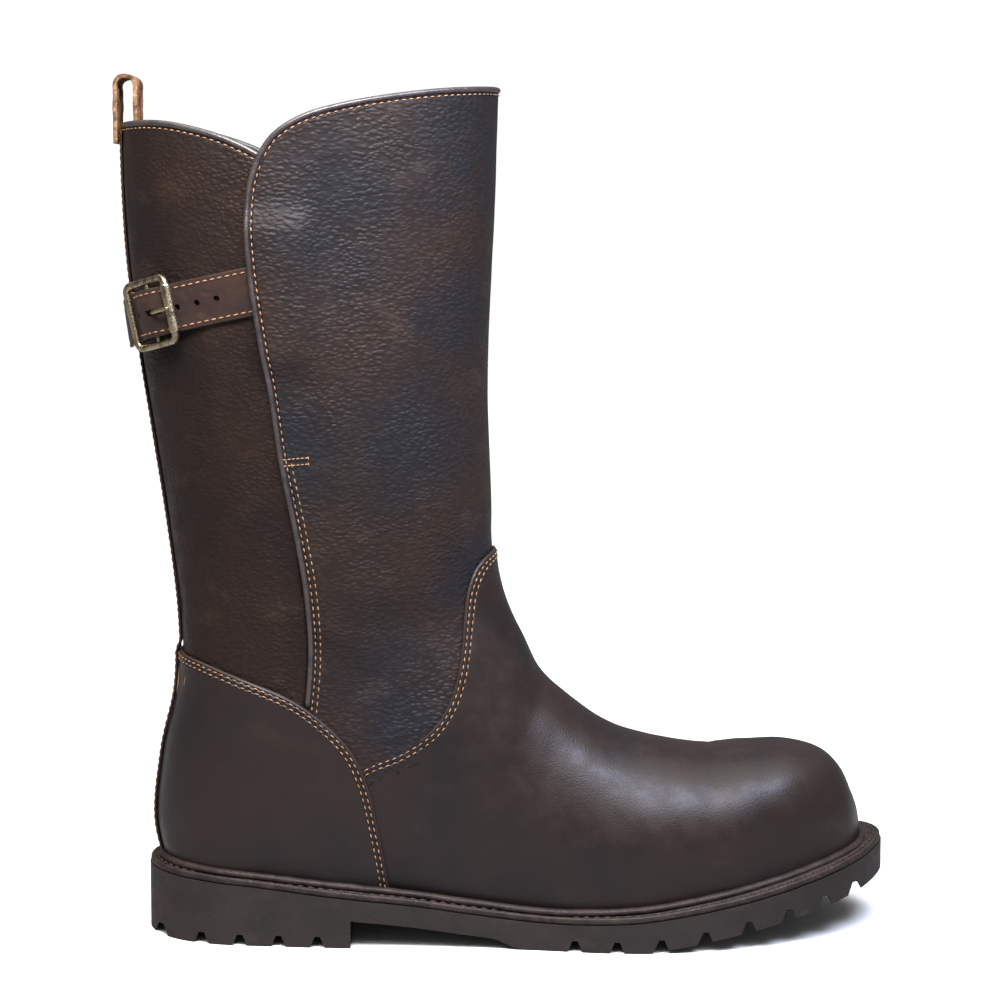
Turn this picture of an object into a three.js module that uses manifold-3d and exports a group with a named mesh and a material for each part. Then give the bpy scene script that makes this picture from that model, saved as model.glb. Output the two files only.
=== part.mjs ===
// Pull-on riding boot for the right foot. Millimetres, +Z up, +X to the toe, outer side at -Y.
// The origin is on the ground, under the middle of the heel block.
import * as THREE from 'three';
import { mergeVertices } from 'three/addons/utils/BufferGeometryUtils.js';
import Module from 'manifold-3d';

const wasm = await Module();
wasm.setup();

// Overall sizes
const soleLength = 311;
const soleWidth = 109.5;
const bootHeight = 351;
// Leathers, measured outward from the face of the shaft panels
const panelThick = 1.5;
const liningThick = 1.0;
const gap = 0.3;
const lapWidth = 8;
const pipingWidth = 1.8;
const pipingProud = 0.5;
const toePuffThick = 1.0;
// Sole
const weltThick = 3;
const beadHeight = 2.5;
const beadWidth = 3.2;
const weltInner = 13;
const heelBreast = 42.5;
const waistThick = 8.5;
const notchWidth = 4.6;
const notchDepth = 4.4;
const notchReach = 14;
const boardThick = 2;
const footbedThick = 3.5;
const shankWidth = 14;
// Strap and buckle
const strapWidth = 19.5;
const strapThick = 1.6;
const strapSlope = 0.21;
const holeRadius = 1.3;
const holePitch = 8.4;
const tabThick = 0.9;
const barRadius = 1.0;
const frameRadius = 1.5;
const frameLength = 27;
const sideClearance = 1.7;
const cornerRadius = 4;
const frameBow = 1.2;
const rollerRadius = 2.1;
const rollerBore = 1.75;
const prongRadius = 0.9;
const prongHoleLength = 7.2;
const prongHoleX = 3.6;
// Back strip and pull loop
const backstayWidth = 12;
const backstayThick = 0.9;
const loopWidth = 20;
const loopThick = 1.8;
const loopRise = 21;

// The shape below is drawn at its base sizes, and these three maps stretch it.
const lengthScale = soleLength / 311;
const widthScale = soleWidth / 109.5;
const kneeStart = 70;
const heightScale = (bootHeight - kneeStart) / (351 - kneeStart);
const mapX = (x) => x * lengthScale;
const mapY = (y) => y * widthScale;
const mapZ = (z) => (z < kneeStart ? z : kneeStart + (z - kneeStart) * heightScale);
const side = (points) => points.map(([x, z]) => [mapX(x), mapZ(z)]);

function interpolate(table, x, column) {
  const last = table.length - 1;
  if (x <= table[0][0]) return table[0][column];
  if (x >= table[last][0]) return table[last][column];
  let k = 0;
  while (x > table[k + 1][0]) k += 1;
  const t = (x - table[k][0]) / (table[k + 1][0] - table[k][0]);
  const pick = (i) => table[Math.min(Math.max(i, 0), last)][column];
  return catmull(pick(k - 1), pick(k), pick(k + 1), pick(k + 2), t);
}

function catmull(a, b, c, d, t) {
  const v = (c - a) / 2;
  const w = (d - b) / 2;
  return (2 * b - 2 * c + v + w) * t ** 3 + (3 * c - 3 * b - 2 * v - w) * t * t + v * t + b;
}

function smooth(low, high, value) {
  const t = Math.min(Math.max((value - low) / (high - low), 0), 1);
  return t * t * (3 - 2 * t);
}

// Height of the outsole's top edge and of its tread, along the boot: x, top, tread
const soleHeights = [
  [-45, 27.2, 0], [0, 24.4, 0], [43, 19.9, 0], [63, 17.8, 0], [96, 13.6, 0], [120, 11.2, 0],
  [140, 11.1, 0], [160, 12.2, 0.2], [180, 15, 2.8], [200, 18.4, 6.4], [220, 22.4, 10.3],
  [240, 26.8, 14.6], [255, 30.2, 18.1], [270, 33.6, 21.6],
];
const soleTop = (x) => interpolate(soleHeights, x / lengthScale, 1);

// Sections of the upper from the toe to the top. Each lies in a plane square to the side view,
// between a front point and a back point: xf, zf, xb, zb, outer and inner half widths,
// the middle's y, the widest place as a share from the back, roundness of back and front half.
const sections = [
  [256.5, 40, 256.5, 39, 0.2, 0.2, 7, 0.5, 2.2, 2.2],
  [255.2, 47, 255.2, 24, 7.5, 7.5, 7, 0.62, 3, 2.1],
  [252.6, 54, 253, 22.5, 14, 14, 6.5, 0.56, 3.4, 2.2],
  [248.2, 63.5, 248.5, 21, 20, 19.5, 6, 0.48, 4, 2.3],
  [240, 70.6, 240, 18.8, 26.5, 26, 5.5, 0.42, 4.6, 2.5],
  [226, 73.8, 226, 16, 34, 34, 5, 0.38, 5, 2.6],
  [210, 73.4, 210, 12.5, 39, 39.5, 4, 0.38, 5, 2.5],
  [193, 73.6, 193, 9, 43, 43.5, 3.5, 0.36, 5, 2.3],
  [172, 77, 172, 5.4, 45.5, 46.5, 3, 0.36, 5, 2.1],
  [154, 82.3, 152, 3.2, 45, 46, 2.5, 0.36, 5, 2.0],
  [140, 90.8, 126, 2.6, 42, 42, 1.5, 0.37, 4.8, 2.0],
  [128.5, 100.2, 98, 5, 37.5, 37, 0, 0.4, 4.6, 2.0],
  [119.5, 110.6, 66, 9, 35, 33.5, -1.5, 0.44, 4.2, 2.0],
  [113, 120.8, 34, 12.4, 34.5, 32, -2, 0.47, 3.8, 2.1],
  [108, 130.6, 2, 15.5, 35, 32.5, -1.8, 0.5, 3.3, 2.2],
  [104.4, 140.5, -26, 17.5, 35.5, 33.5, -1, 0.52, 2.7, 2.2],
  [102, 150.5, -37.6, 42, 36, 35, 0, 0.52, 2.35, 2.2],
  [101, 161, -35.4, 74, 37, 37, 0, 0.5, 2.3, 2.2],
  [100.6, 173, -29.2, 103, 39, 39, 0, 0.5, 2.25, 2.2],
  [100.2, 188, -29.2, 134, 41, 41, 0, 0.5, 2.25, 2.2],
  [99.5, 206, -33.4, 171, 43, 43, 0, 0.5, 2.25, 2.2],
  [99.2, 226, -39.2, 210, 45, 45, 0, 0.5, 2.25, 2.2],
  [99.8, 250, -44.6, 246, 47, 47, 0, 0.5, 2.25, 2.25],
  [101.2, 280, -48.8, 280, 48.5, 48.5, 0, 0.5, 2.25, 2.25],
  [102.8, 315, -50.7, 315, 50, 50, 0, 0.5, 2.25, 2.25],
  [103.8, 352, -51, 352, 50.5, 50.5, 0, 0.5, 2.25, 2.25],
  [104, 390, -51, 390, 50.5, 50.5, 0, 0.5, 2.25, 2.25],
].map((row, k) => [k, ...row]);
const stationCount = sections.length - 1;

// Point on the outer face of the upper: station along the boot, and angle round it from the
// front. The outer side is at angles below half a turn.
function upperPoint(station, angle) {
  const get = (c) => interpolate(sections, station, c + 1);
  const front = new THREE.Vector3(mapX(get(0)), 0, mapZ(get(1)));
  const back = new THREE.Vector3(mapX(get(2)), 0, mapZ(get(3)));
  const length = front.distanceTo(back);
  const up = front.clone().sub(back).normalize();
  const share = get(7);
  const c = Math.cos(angle);
  const s = Math.sin(angle);
  const power = 2 / (c > 0 ? get(9) : get(8));
  const along = share * length + Math.sign(c) * Math.abs(c) ** power * length * (c > 0 ? 1 - share : share);
  const half = mapY(s > 0 ? get(4) : get(5));
  const across = mapY(get(6)) - Math.sign(s) * Math.abs(s) ** power * half;
  return new THREE.Vector3(back.x + up.x * along, across, back.z + up.z * along);
}

function upperNormal(station, angle) {
  const e = 0.02;
  const low = Math.max(station - e, 0.001);
  const high = Math.min(station + e, stationCount);
  const dv = upperPoint(high, angle).sub(upperPoint(low, angle));
  const du = upperPoint(station, angle + e).sub(upperPoint(station, angle - e));
  return dv.cross(du).normalize();
}

// Station on the shaft where the surface at this angle has height z.
function stationAt(z, angle) {
  let low = 15;
  let high = stationCount;
  for (let k = 0; k < 40; k += 1) {
    const middle = (low + high) / 2;
    if (upperPoint(middle, angle).z < z) low = middle;
    else high = middle;
  }
  return low;
}

// Angle on the outer side of the shaft where the surface at height z has this x.
function angleAt(x, z) {
  let low = 0.01;
  let high = Math.PI - 0.01;
  for (let k = 0; k < 40; k += 1) {
    const middle = (low + high) / 2;
    if (upperPoint(stationAt(z, middle), middle).x > x) low = middle;
    else high = middle;
  }
  return low;
}

function solid(positions, faces) {
  const mesh = new wasm.Mesh({
    numProp: 3,
    vertProperties: new Float32Array(positions),
    triVerts: new Uint32Array(faces),
  });
  return new wasm.Manifold(mesh);
}

function solidOf(geometry) {
  geometry.deleteAttribute('normal');
  geometry.deleteAttribute('uv');
  const merged = mergeVertices(geometry, 1e-4);
  return solid(merged.attributes.position.array, merged.index.array);
}

// Closed solid inside the upper's face moved outward by offset(x, z, y).
const roundSteps = 24;
const stations = [0.4, 1.2, 2.3, 3.4, 4.7, 6.2, 7.6, 9, 10.4, 11.8, 13, 14.2, 15.2];
stations.push(16.2, 17.4, 18.8, 20.2, 21.4, 22.2, 23, 24, 25, 26);
const skin = stations.map((station) => {
  const ring = [];
  for (let j = 0; j < roundSteps; j += 1) {
    const angle = (2 * Math.PI * (j + 0.5)) / roundSteps;
    ring.push({ point: upperPoint(station, angle), normal: upperNormal(station, angle) });
  }
  return ring;
});

function body(offset) {
  const positions = [];
  const place = ({ point, normal }) => {
    const d = offset(point.x, point.z, point.y);
    positions.push(point.x + normal.x * d, point.y + normal.y * d, point.z + normal.z * d);
  };
  skin.forEach((ring) => ring.forEach(place));
  const faces = [];
  const at = (i, j) => i * roundSteps + (j % roundSteps);
  const tip = skin.length * roundSteps;
  for (let i = 0; i < skin.length - 1; i += 1) {
    for (let j = 0; j < roundSteps; j += 1) {
      faces.push(at(i, j), at(i + 1, j), at(i + 1, j + 1), at(i, j), at(i + 1, j + 1), at(i, j + 1));
    }
  }
  const toe = upperPoint(0, 0);
  positions.push(toe.x + offset(toe.x, toe.z, toe.y), toe.y, toe.z);
  const last = skin.length - 1;
  const top = upperPoint(stationCount, 0);
  positions.push((top.x + upperPoint(stationCount, Math.PI).x) / 2, 0, top.z);
  for (let j = 0; j < roundSteps; j += 1) {
    faces.push(tip, at(0, j), at(0, j + 1), tip + 1, at(last, j + 1), at(last, j));
  }
  return solid(positions, faces);
}

// Solid that has this outline in the side view, from y0 to y1.
function slab(outline, y0 = -120, y1 = 120) {
  const shape = new THREE.Shape(outline.map(([x, z]) => new THREE.Vector2(x, z)));
  const geometry = new THREE.ExtrudeGeometry(shape, { depth: y1 - y0, bevelEnabled: false });
  geometry.rotateX(Math.PI / 2);
  geometry.translate(0, y1, 0);
  return solidOf(geometry);
}

function flow(points, steps) {
  const curve = new THREE.SplineCurve(points.map(([x, z]) => new THREE.Vector2(x, z)));
  return curve.getPoints(steps).map((p) => [p.x, p.y]);
}

// The outline moved to its left by a distance.
function shift(points, distance) {
  return points.map((p, k) => {
    const a = points[Math.max(k - 1, 0)];
    const b = points[Math.min(k + 1, points.length - 1)];
    const dx = b[0] - a[0];
    const dz = b[1] - a[1];
    const length = Math.hypot(dx, dz);
    return [p[0] - (dz / length) * distance, p[1] + (dx / length) * distance];
  });
}

// Seams in the side view. The front panel's edge runs from the front of the top, down the back.
const panelTop = side([[118, 351.6], [85, 349.3], [63, 346.7], [42, 343], [26, 338.4], [14, 331.2], [8, 322.8]]);
const panelRear = side([
  [8, 322.8], [4, 311], [2.9, 295], [4.6, 272], [8, 249], [11.8, 225], [15.4, 199], [20.4, 173],
  [24.6, 147], [26, 122], [24.2, 98], [21, 70],
]);
const panelEdge = [...flow(panelTop, 16), ...flow(panelRear, 26).slice(1)];
const backTop = flow(side([[-75, 334], [-52, 336], [-34, 336.2], [-18, 333.4], [-3, 328.6], [10, 322], [30, 310]]), 18);
const vampEdge = flow(side([
  [40, 69], [50, 75.2], [63, 80.4], [75, 88.4], [82.8, 100], [87, 115], [88.6, 132], [90.2, 145],
  [95, 155], [104, 160.6], [118, 164],
]), 24);
const counterEdge = flow(side([
  [-75, 146], [-48, 132.6], [-14, 117.2], [14, 104.8], [30, 94.2], [43, 80.8], [50, 65.5], [54, 48],
  [57.4, 30], [62, 0],
]), 24);
const low = -20;
const high = 400;

const above = (line) => slab([...line, [line.at(-1)[0], high], [line[0][0], high]]);
const behindCounter = (distance) => {
  const line = shift(counterEdge, distance);
  return slab([...line, [-75, low]]);
};
const aheadOfVamp = (distance) => {
  const line = shift(vampEdge, distance);
  return slab([[line[0][0], low], [400, low], [400, line.at(-1)[1]], ...line.reverse()]);
};
const aheadOfPanel = (distance) => {
  const line = shift(panelEdge, distance);
  return slab([...line, [line.at(-1)[0], low], [400, low], [400, line[0][1]]]);
};
const feather = (height) => {
  const line = [];
  for (let x = -70; x <= 300; x += 10) line.push([x, soleTop(x) + height]);
  return line;
};
const overSole = (height) => above(feather(height));
const band = (from, to) => slab([...feather(from), ...feather(to).reverse()]);

// Leather offsets from the face of the panels. A piece that laps over another is lifted.
// Fades run over distances that stretch with the boot, as the facets do.
const away = (line, x, z) => Math.min(...line.map(([cx, cz]) => Math.hypot((x - cx) / lengthScale, (z - cz) / heightScale)));
const fromCounter = (x, z) => away(counterEdge, x, z);
const inCounter = (x, z) => counterEdge.every(([cx, cz]) => x < cx || z < cz);
const liftFade = (x, z) => (inCounter(x, z) ? 0 : smooth(24, 34, fromCounter(x, z)));
const lapAt = (x, z) => -gap + (lapWidth + gap) * smooth(54, 64, fromCounter(x, z));
const edgeX = (z) => {
  const row = panelEdge.find((p, k) => k > 15 && p[1] < z) ?? panelEdge.at(-1);
  return row[0];
};
const lapLift = panelThick + gap;
const strapMiddle = side([[4, 267.8]])[0];
const overStrap = (x, z) => (1 - smooth(18, 30, x - strapMiddle[0])) * (1 - smooth(23, 38, Math.abs(z - strapMiddle[1])));
const frontLift = (x, z) => {
  const lap = (1 - smooth(lapWidth + 14, lapWidth + 26, x - edgeX(z))) * liftFade(x, z);
  return lapLift * lap + (strapThick + 1.2) * overStrap(x, z);
};
const vampLift = (x, z) => {
  const d = away(vampEdge, x, z);
  const lap = (1 - smooth(lapWidth + 14, lapWidth + 28, d)) * liftFade(x, z);
  const toe = smooth(mapX(188), mapX(208), x) * (toePuffThick + gap);
  return Math.max(lapLift * lap, toe);
};
const flat = (d) => body(() => d);

const faceBody = flat(0);
const panelInside = flat(-panelThick);
const liningOuter = flat(-panelThick - gap);
const liningInner = flat(-panelThick - gap - liningThick);
const footSpace = flat(-panelThick - 2 * gap - liningThick);
const wallFoot = overSole(gap);

// Back shaft panel, from the counter's lap to the top, lapping under the front panel
const backRegion = (() => {
  const line = panelEdge.filter((p, k) => k >= 14).map(([x, z]) => [x + lapAt(x, z), z]);
  return slab([[-120, low], [-120, high], [line[0][0], high], ...line, [line.at(-1)[0], low]]);
})();
const underBackTop = slab([...shift(backTop, -pipingWidth - gap), [30, low], [-75, low]]);
const panelShell = faceBody.subtract(panelInside);
const backPanel = panelShell.intersect(backRegion).intersect(underBackTop).subtract(behindCounter(-lapWidth));

// Heel stiffener in the same layer, under the counter
const stiffener = panelShell.intersect(behindCounter(-lapWidth - gap)).intersect(wallFoot);

// Front shaft panel with its lap over the back panel
const frontOuter = body((x, z) => frontLift(x, z));
const frontInner = body((x, z) => frontLift(x, z) - panelThick);
const frontShell = frontOuter.subtract(frontInner);
const underVamp = (() => {
  const near = shift(vampEdge, gap);
  const far = shift(vampEdge, -lapWidth);
  const line = vampEdge.map(([x, z], k) => {
    const t = (lapAt(x, z) + gap) / (lapWidth + gap);
    return [near[k][0] + (far[k][0] - near[k][0]) * t, near[k][1] + (far[k][1] - near[k][1]) * t];
  });
  return slab([[line[0][0], low], [400, low], [400, line.at(-1)[1]], ...line.reverse()]);
})();
const frontPanel = frontShell
  .intersect(aheadOfPanel(pipingWidth + gap))
  .subtract(underVamp)
  .subtract(behindCounter(-lapWidth));

// Vamp, lapping over the front panel and under the counter
const vampOuter = body((x, z) => vampLift(x, z));
const vampInner = body((x, z) => vampLift(x, z) - panelThick);
const vamp = vampOuter
  .subtract(vampInner)
  .intersect(aheadOfVamp(0))
  .subtract(behindCounter(-lapWidth))
  .intersect(wallFoot);

// Toe puff between the vamp and its lining
const puffRegion = slab([[mapX(212), low], [400, low], [400, 120], [mapX(206), 120]]);
const toePuff = flat(-panelThick - gap + gap + toePuffThick)
  .subtract(flat(-panelThick))
  .intersect(puffRegion)
  .intersect(wallFoot);

// Heel counter over everything at the back
const counter = flat(gap + panelThick).subtract(flat(gap)).intersect(behindCounter(0)).intersect(wallFoot);

// Linings: vamp lining ahead, shaft lining above and behind
const liningShell = liningOuter.subtract(liningInner);
const liningSeam = flow(side([[30, 0], [52, 60], [78, 112], [108, 150], [140, 170]]), 10);
const liningAhead = (d) => slab([...shift(liningSeam, d), [400, 170], [400, low]]);
const vampLining = liningShell.intersect(liningAhead(-gap)).intersect(wallFoot);
const topLine = slab([
  ...shift(backTop, -pipingWidth - 1).filter((p) => p[0] < mapX(6)),
  ...shift(panelEdge, pipingWidth + 1).filter((p, k) => k < 15 && p[0] > mapX(10)).reverse(),
  [400, mapZ(348)], [400, low], [-75, low],
]);
const shaftLining = liningShell.subtract(liningAhead(0)).intersect(topLine).intersect(wallFoot);

// Gusset behind the lap on the outer side, between the two panels
const tack = side([[15.4, 200]])[0];
const gussetTop = side([[8, 318]])[0][1];
const gusset = (() => {
  const line = panelEdge.filter((p) => p[1] < gussetTop && p[1] > tack[1]);
  const rear = line.map(([x, z]) => [x + lapWidth + gap, z]);
  const ahead = line.map(([x, z]) => [x + lapWidth + 3 + 4 * smooth(tack[1], gussetTop, z), z]);
  return panelShell.intersect(slab([...rear, ...ahead.reverse()], -120, 0));
})();
const frontUnderGusset = (() => {
  const line = panelEdge.filter((p) => p[1] < gussetTop + 6 && p[1] > tack[1] - 6);
  const rear = line.map(([x, z]) => [x - 20, z]);
  const ahead = line.map(([x, z]) => [x + lapWidth + 9, z]);
  return slab([...rear, ...ahead.reverse()], -120, 0);
})();
const frontPanelCut = frontPanel.subtract(flat(gap).intersect(frontUnderGusset));

// Piping on the two top edges
const strip = (line, from, to) => slab([...shift(line, from), ...shift(line, to).reverse()]);
const frontPiping = body((x, z) => frontLift(x, z) + pipingProud)
  .subtract(frontInner)
  .intersect(strip(panelEdge, 0, pipingWidth))
  .subtract(behindCounter(gap));
const backPiping = flat(pipingProud)
  .subtract(panelInside)
  .intersect(strip(backTop, -pipingWidth, 0))
  .subtract(aheadOfPanel(-gap));

// Sole unit
const outlinePoints = [
  [-43.4, 0], [-40.6, -13], [-31, -25.5], [-14, -34], [12, -38], [43, -41], [80, -42], [115, -44.5],
  [145, -49.5], [170, -51], [195, -48.5], [220, -42], [242, -31], [257, -17], [265.5, -2], [267.6, 9],
  [264, 24], [252, 38.5], [232, 50], [205, 56.5], [175, 58.5], [145, 56], [115, 47.5], [85, 38.5],
  [60, 35.5], [36, 35.5], [12, 36], [-13, 33], [-31, 24.5], [-40.6, 12.5],
];
const soleCurve = new THREE.CatmullRomCurve3(
  outlinePoints.map(([x, y]) => new THREE.Vector3(mapX(x), mapY(y), 0)), true, 'centripetal',
);
const loopSteps = 60;
const soleLoop = soleCurve.getSpacedPoints(loopSteps).slice(0, loopSteps);
const insetLoop = (distance) => soleLoop.map((p, k) => {
  const a = soleLoop[(k + loopSteps - 1) % loopSteps];
  const b = soleLoop[(k + 1) % loopSteps];
  const t = b.clone().sub(a).normalize();
  return new THREE.Vector2(p.x - t.y * distance, p.y + t.x * distance);
});
function plate(distance) {
  const shape = new THREE.Shape(insetLoop(distance));
  const geometry = new THREE.ExtrudeGeometry(shape, { depth: 90, bevelEnabled: false });
  return solidOf(geometry);
}
const treadLine = (() => {
  const line = [];
  for (let x = 115; x <= 280; x += 11) line.push([mapX(x), interpolate(soleHeights, x, 2)]);
  return line;
})();
const soleSide = slab([
  [mapX(-60), 0], [mapX(heelBreast), 0], [mapX(heelBreast), soleTop(mapX(heelBreast)) - waistThick],
  [mapX(75), soleTop(mapX(75)) - waistThick], [mapX(100), soleTop(mapX(100)) - waistThick],
  [mapX(112), 3.6], ...treadLine, ...feather(0).filter((p) => p[0] > mapX(-60)).reverse(),
]);
const notches = [-19, -3, 13, 29, 134, 151, 169, 187, 205, 222, 238, 252];
const loopAt = (x, sign) => soleLoop
  .filter((p) => p.y * sign > 0)
  .reduce((best, p) => (Math.abs(p.x - x) < Math.abs(best.x - x) ? p : best));
let outsole = plate(0).intersect(soleSide);
for (const x of notches.map(mapX)) {
  const foot = x < mapX(100) ? 0 : interpolate(soleHeights, x / lengthScale, 2);
  const wide = notchWidth / 2;
  const outline = [[-wide - 1, -5], [wide + 1, -5], [wide - 0.4, notchDepth], [0.4 - wide, notchDepth]];
  for (const sign of [-1, 1]) {
    const edge = loopAt(x, sign).y;
    const from = Math.min(edge + 5 * sign, edge - notchReach * sign);
    const to = Math.max(edge + 5 * sign, edge - notchReach * sign);
    outsole = outsole.subtract(slab(outline.map(([u, w]) => [x + u, foot + w]), from, to));
  }
}

// Welt with its storm bead against the upper
const upperOuter = flat(2 * gap + panelThick + 0.3);
const weltFlat = plate(0.4).subtract(plate(weltInner)).intersect(band(gap, weltThick));
const upperBead = flat(2 * gap + panelThick + 0.3 + beadWidth);
const bead = upperBead.intersect(plate(1.8)).intersect(band(weltThick - 0.4, weltThick + beadHeight));
const welt = weltFlat.add(bead).subtract(upperOuter);

// Inside the foot, from the outsole up: filler with the shank, board, footbed
const fillTop = weltThick;
const shankBlock = (grow) => {
  const geometry = new THREE.BoxGeometry(mapX(96) + 2 * grow, shankWidth + 2 * grow, 90);
  geometry.translate(mapX(62), 0, 30);
  return solidOf(geometry);
};
const filler = footSpace.intersect(band(gap, fillTop)).subtract(shankBlock(gap).intersect(band(1.4, 60)));
const shank = shankBlock(0).intersect(band(1.4 + gap, fillTop));
const board = footSpace.intersect(band(fillTop + gap, fillTop + gap + boardThick));
const bedFrom = fillTop + 2 * gap + boardThick;
const footbed = footSpace.intersect(band(bedFrom, bedFrom + footbedThick));

// A flat strip of leather along a list of { point, normal }, its middle at the points
function ribbon(path, width, thick) {
  const positions = [];
  const faces = [];
  path.forEach(({ point, normal, across }, k) => {
    const a = path[Math.max(k - 1, 0)].point;
    const b = path[Math.min(k + 1, path.length - 1)].point;
    const wide = (across ?? b.clone().sub(a).cross(normal)).clone().normalize().multiplyScalar(width / 2);
    const out = normal.clone().multiplyScalar(thick / 2);
    for (const [s, t] of [[-1, -1], [1, -1], [1, 1], [-1, 1]]) {
      const p = point.clone().addScaledVector(wide, s).addScaledVector(out, t);
      positions.push(p.x, p.y, p.z);
    }
    if (k === 0) return;
    for (let j = 0; j < 4; j += 1) {
      const u = 4 * (k - 1) + j;
      const v = 4 * (k - 1) + ((j + 1) % 4);
      faces.push(u, v, v + 4, u, v + 4, u + 4);
    }
  });
  const n = 4 * (path.length - 1);
  faces.push(0, 3, 2, 0, 2, 1, n, n + 1, n + 2, n, n + 2, n + 3);
  const made = solid(positions, faces);
  return made.volume() > 0 ? made : solid(positions, faces.reverse());
}

// The buckle sits where the strap's middle line passes this point on the shaft.
const seatSide = side([[-33.5, 259.6]])[0];
const seatAngle = angleAt(seatSide[0], seatSide[1]);
const seatStation = stationAt(seatSide[1], seatAngle);
const seatNormal = upperNormal(seatStation, seatAngle);
const seatLift = gap + tabThick + 0.2 + barRadius + 1.2;
const seat = upperPoint(seatStation, seatAngle).addScaledVector(seatNormal, seatLift);
const level = new THREE.Vector3(-seatNormal.y, seatNormal.x, 0).normalize();
const slope = Math.atan(strapSlope);
const forward = level.clone().applyAxisAngle(seatNormal, slope);
const upright = seatNormal.clone().cross(forward).normalize();
const seatFrame = new THREE.Matrix4().makeBasis(forward, upright, seatNormal).setPosition(seat);

// Strap: distance outward from the panel by the run from the buckle's middle
const halfLength = frameLength / 2 - frameRadius;
const strapLifts = [
  [-60, 4], [-20, 4], [-15.5, 3.8], [-halfLength, 3.2], [-8.5, 4.3], [-6, 5.4], [-3, 6.6], [0, 6.9], [3, 6.6],
  [6, 5.1], [9, 3.35], [halfLength, 2.4], [16, 1.8], [22, 1.2], [30, gap + strapThick / 2],
  [120, gap + strapThick / 2],
];
function strapPath(fromX, toX, steps, lift) {
  const start = angleAt(fromX, seatSide[1]);
  const end = angleAt(toX, seatSide[1]);
  const raw = [];
  for (let k = 0; k <= steps * 4; k += 1) {
    const angle = start + ((end - start) * k) / (steps * 4);
    raw.push({ angle, base: upperPoint(stationAt(seatSide[1], angle), angle) });
  }
  let run = 0;
  raw.forEach((p, k) => {
    if (k > 0) run += p.base.distanceTo(raw[k - 1].base);
    p.run = run;
  });
  const middle = raw.reduce((b, p) => (Math.abs(p.angle - seatAngle) < Math.abs(b.angle - seatAngle) ? p : b));
  return raw.filter((p, k) => k % 4 === 0).map((p) => {
    const distance = middle.run - p.run;
    const z = seatSide[1] + distance * strapSlope;
    const station = stationAt(z, p.angle);
    const normal = upperNormal(station, p.angle);
    const point = upperPoint(station, p.angle).addScaledVector(normal, lift(distance));
    return { point, normal, distance };
  });
}
const strapSteps = Math.round(26 * Math.max(lengthScale, widthScale));
const strapRoute = strapPath(strapMiddle[0] + 3, mapX(-47.2), strapSteps, (d) => interpolate(strapLifts, d, 1));
let strap = ribbon(strapRoute, strapWidth, strapThick);
const routeAt = (distance) => strapRoute.reduce((b, p) => (Math.abs(p.distance - distance) < Math.abs(b.distance - distance) ? p : b));
function punch(distance, length) {
  const shape = new THREE.Shape();
  const reach = length / 2 - holeRadius;
  shape.absarc(reach, 0, holeRadius, -Math.PI / 2, Math.PI / 2);
  shape.absarc(-reach, 0, holeRadius, Math.PI / 2, (3 * Math.PI) / 2);
  const geometry = new THREE.ExtrudeGeometry(shape, { depth: 8, bevelEnabled: false, curveSegments: 4 });
  geometry.translate(0, 0, -4);
  const near = routeAt(distance);
  const x = forward.clone().addScaledVector(near.normal, -forward.dot(near.normal)).normalize();
  geometry.applyMatrix4(new THREE.Matrix4().makeBasis(x, near.normal.clone().cross(x), near.normal)
    .setPosition(near.point));
  return solidOf(geometry);
}
for (const k of [-1, 1, 2, 3, 4]) strap = strap.subtract(punch(prongHoleX + holePitch * k, 2.02 * holeRadius));

// Tab: from the inner side round the back and into the buckle, ending round the middle bar
const tabLift = 3 * gap + backstayThick + tabThick / 2;
function tabPath() {
  const lift = (angle) => tabLift * (1 - smooth(0, 0.5, Math.abs(angle - Math.PI) - 0.25))
    + (gap + tabThick / 2) * smooth(0, 0.5, Math.abs(angle - Math.PI) - 0.25);
  const path = [];
  const from = 2 * Math.PI - angleAt(mapX(-30), seatSide[1]);
  const to = seatAngle + 0.02;
  for (let k = 0; k <= 18; k += 1) {
    const angle = from + ((to - from) * k) / 18;
    const z = seatSide[1] - 1.2 - 4 * smooth(seatAngle + 0.3, from, angle);
    const station = stationAt(z, angle);
    const normal = upperNormal(station, angle);
    path.push({ point: upperPoint(station, angle).addScaledVector(normal, lift(angle)), normal });
  }
  return path;
}
const tabWidth = strapWidth - 1.5;
const tabStrip = ribbon(tabPath(), tabWidth, tabThick);
const wrapShape = new THREE.Shape();
wrapShape.absarc(0, 0, barRadius + 0.2 + tabThick, 0, 2 * Math.PI);
const wrapHole = new THREE.Path();
wrapHole.absarc(0, 0, barRadius + 0.2, 0, 2 * Math.PI, true);
wrapShape.holes.push(wrapHole);
const wrapGeometry = new THREE.ExtrudeGeometry(wrapShape, { depth: tabWidth, bevelEnabled: false, curveSegments: 12 });
wrapGeometry.translate(0, 0, -tabWidth / 2);
wrapGeometry.rotateX(-Math.PI / 2);
const joinGeometry = new THREE.BoxGeometry(1.4, tabWidth, 1.5);
joinGeometry.translate(-0.3, 0, -barRadius - 0.2 - 1.05);
const prongHole = new THREE.BoxGeometry(prongHoleLength, 2 * holeRadius, 8);
prongHole.translate(prongHoleX, 0, 3);
const slotGeometry = new THREE.BoxGeometry(12, 4 * prongRadius + 1, 12);
slotGeometry.translate(2, 0, 3.2);
const inFrame = (geometry) => solidOf(geometry.applyMatrix4(seatFrame));
strap = strap.subtract(inFrame(prongHole));
const buckleTab = tabStrip
  .add(inFrame(wrapGeometry))
  .add(inFrame(joinGeometry))
  .subtract(inFrame(slotGeometry));

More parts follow.
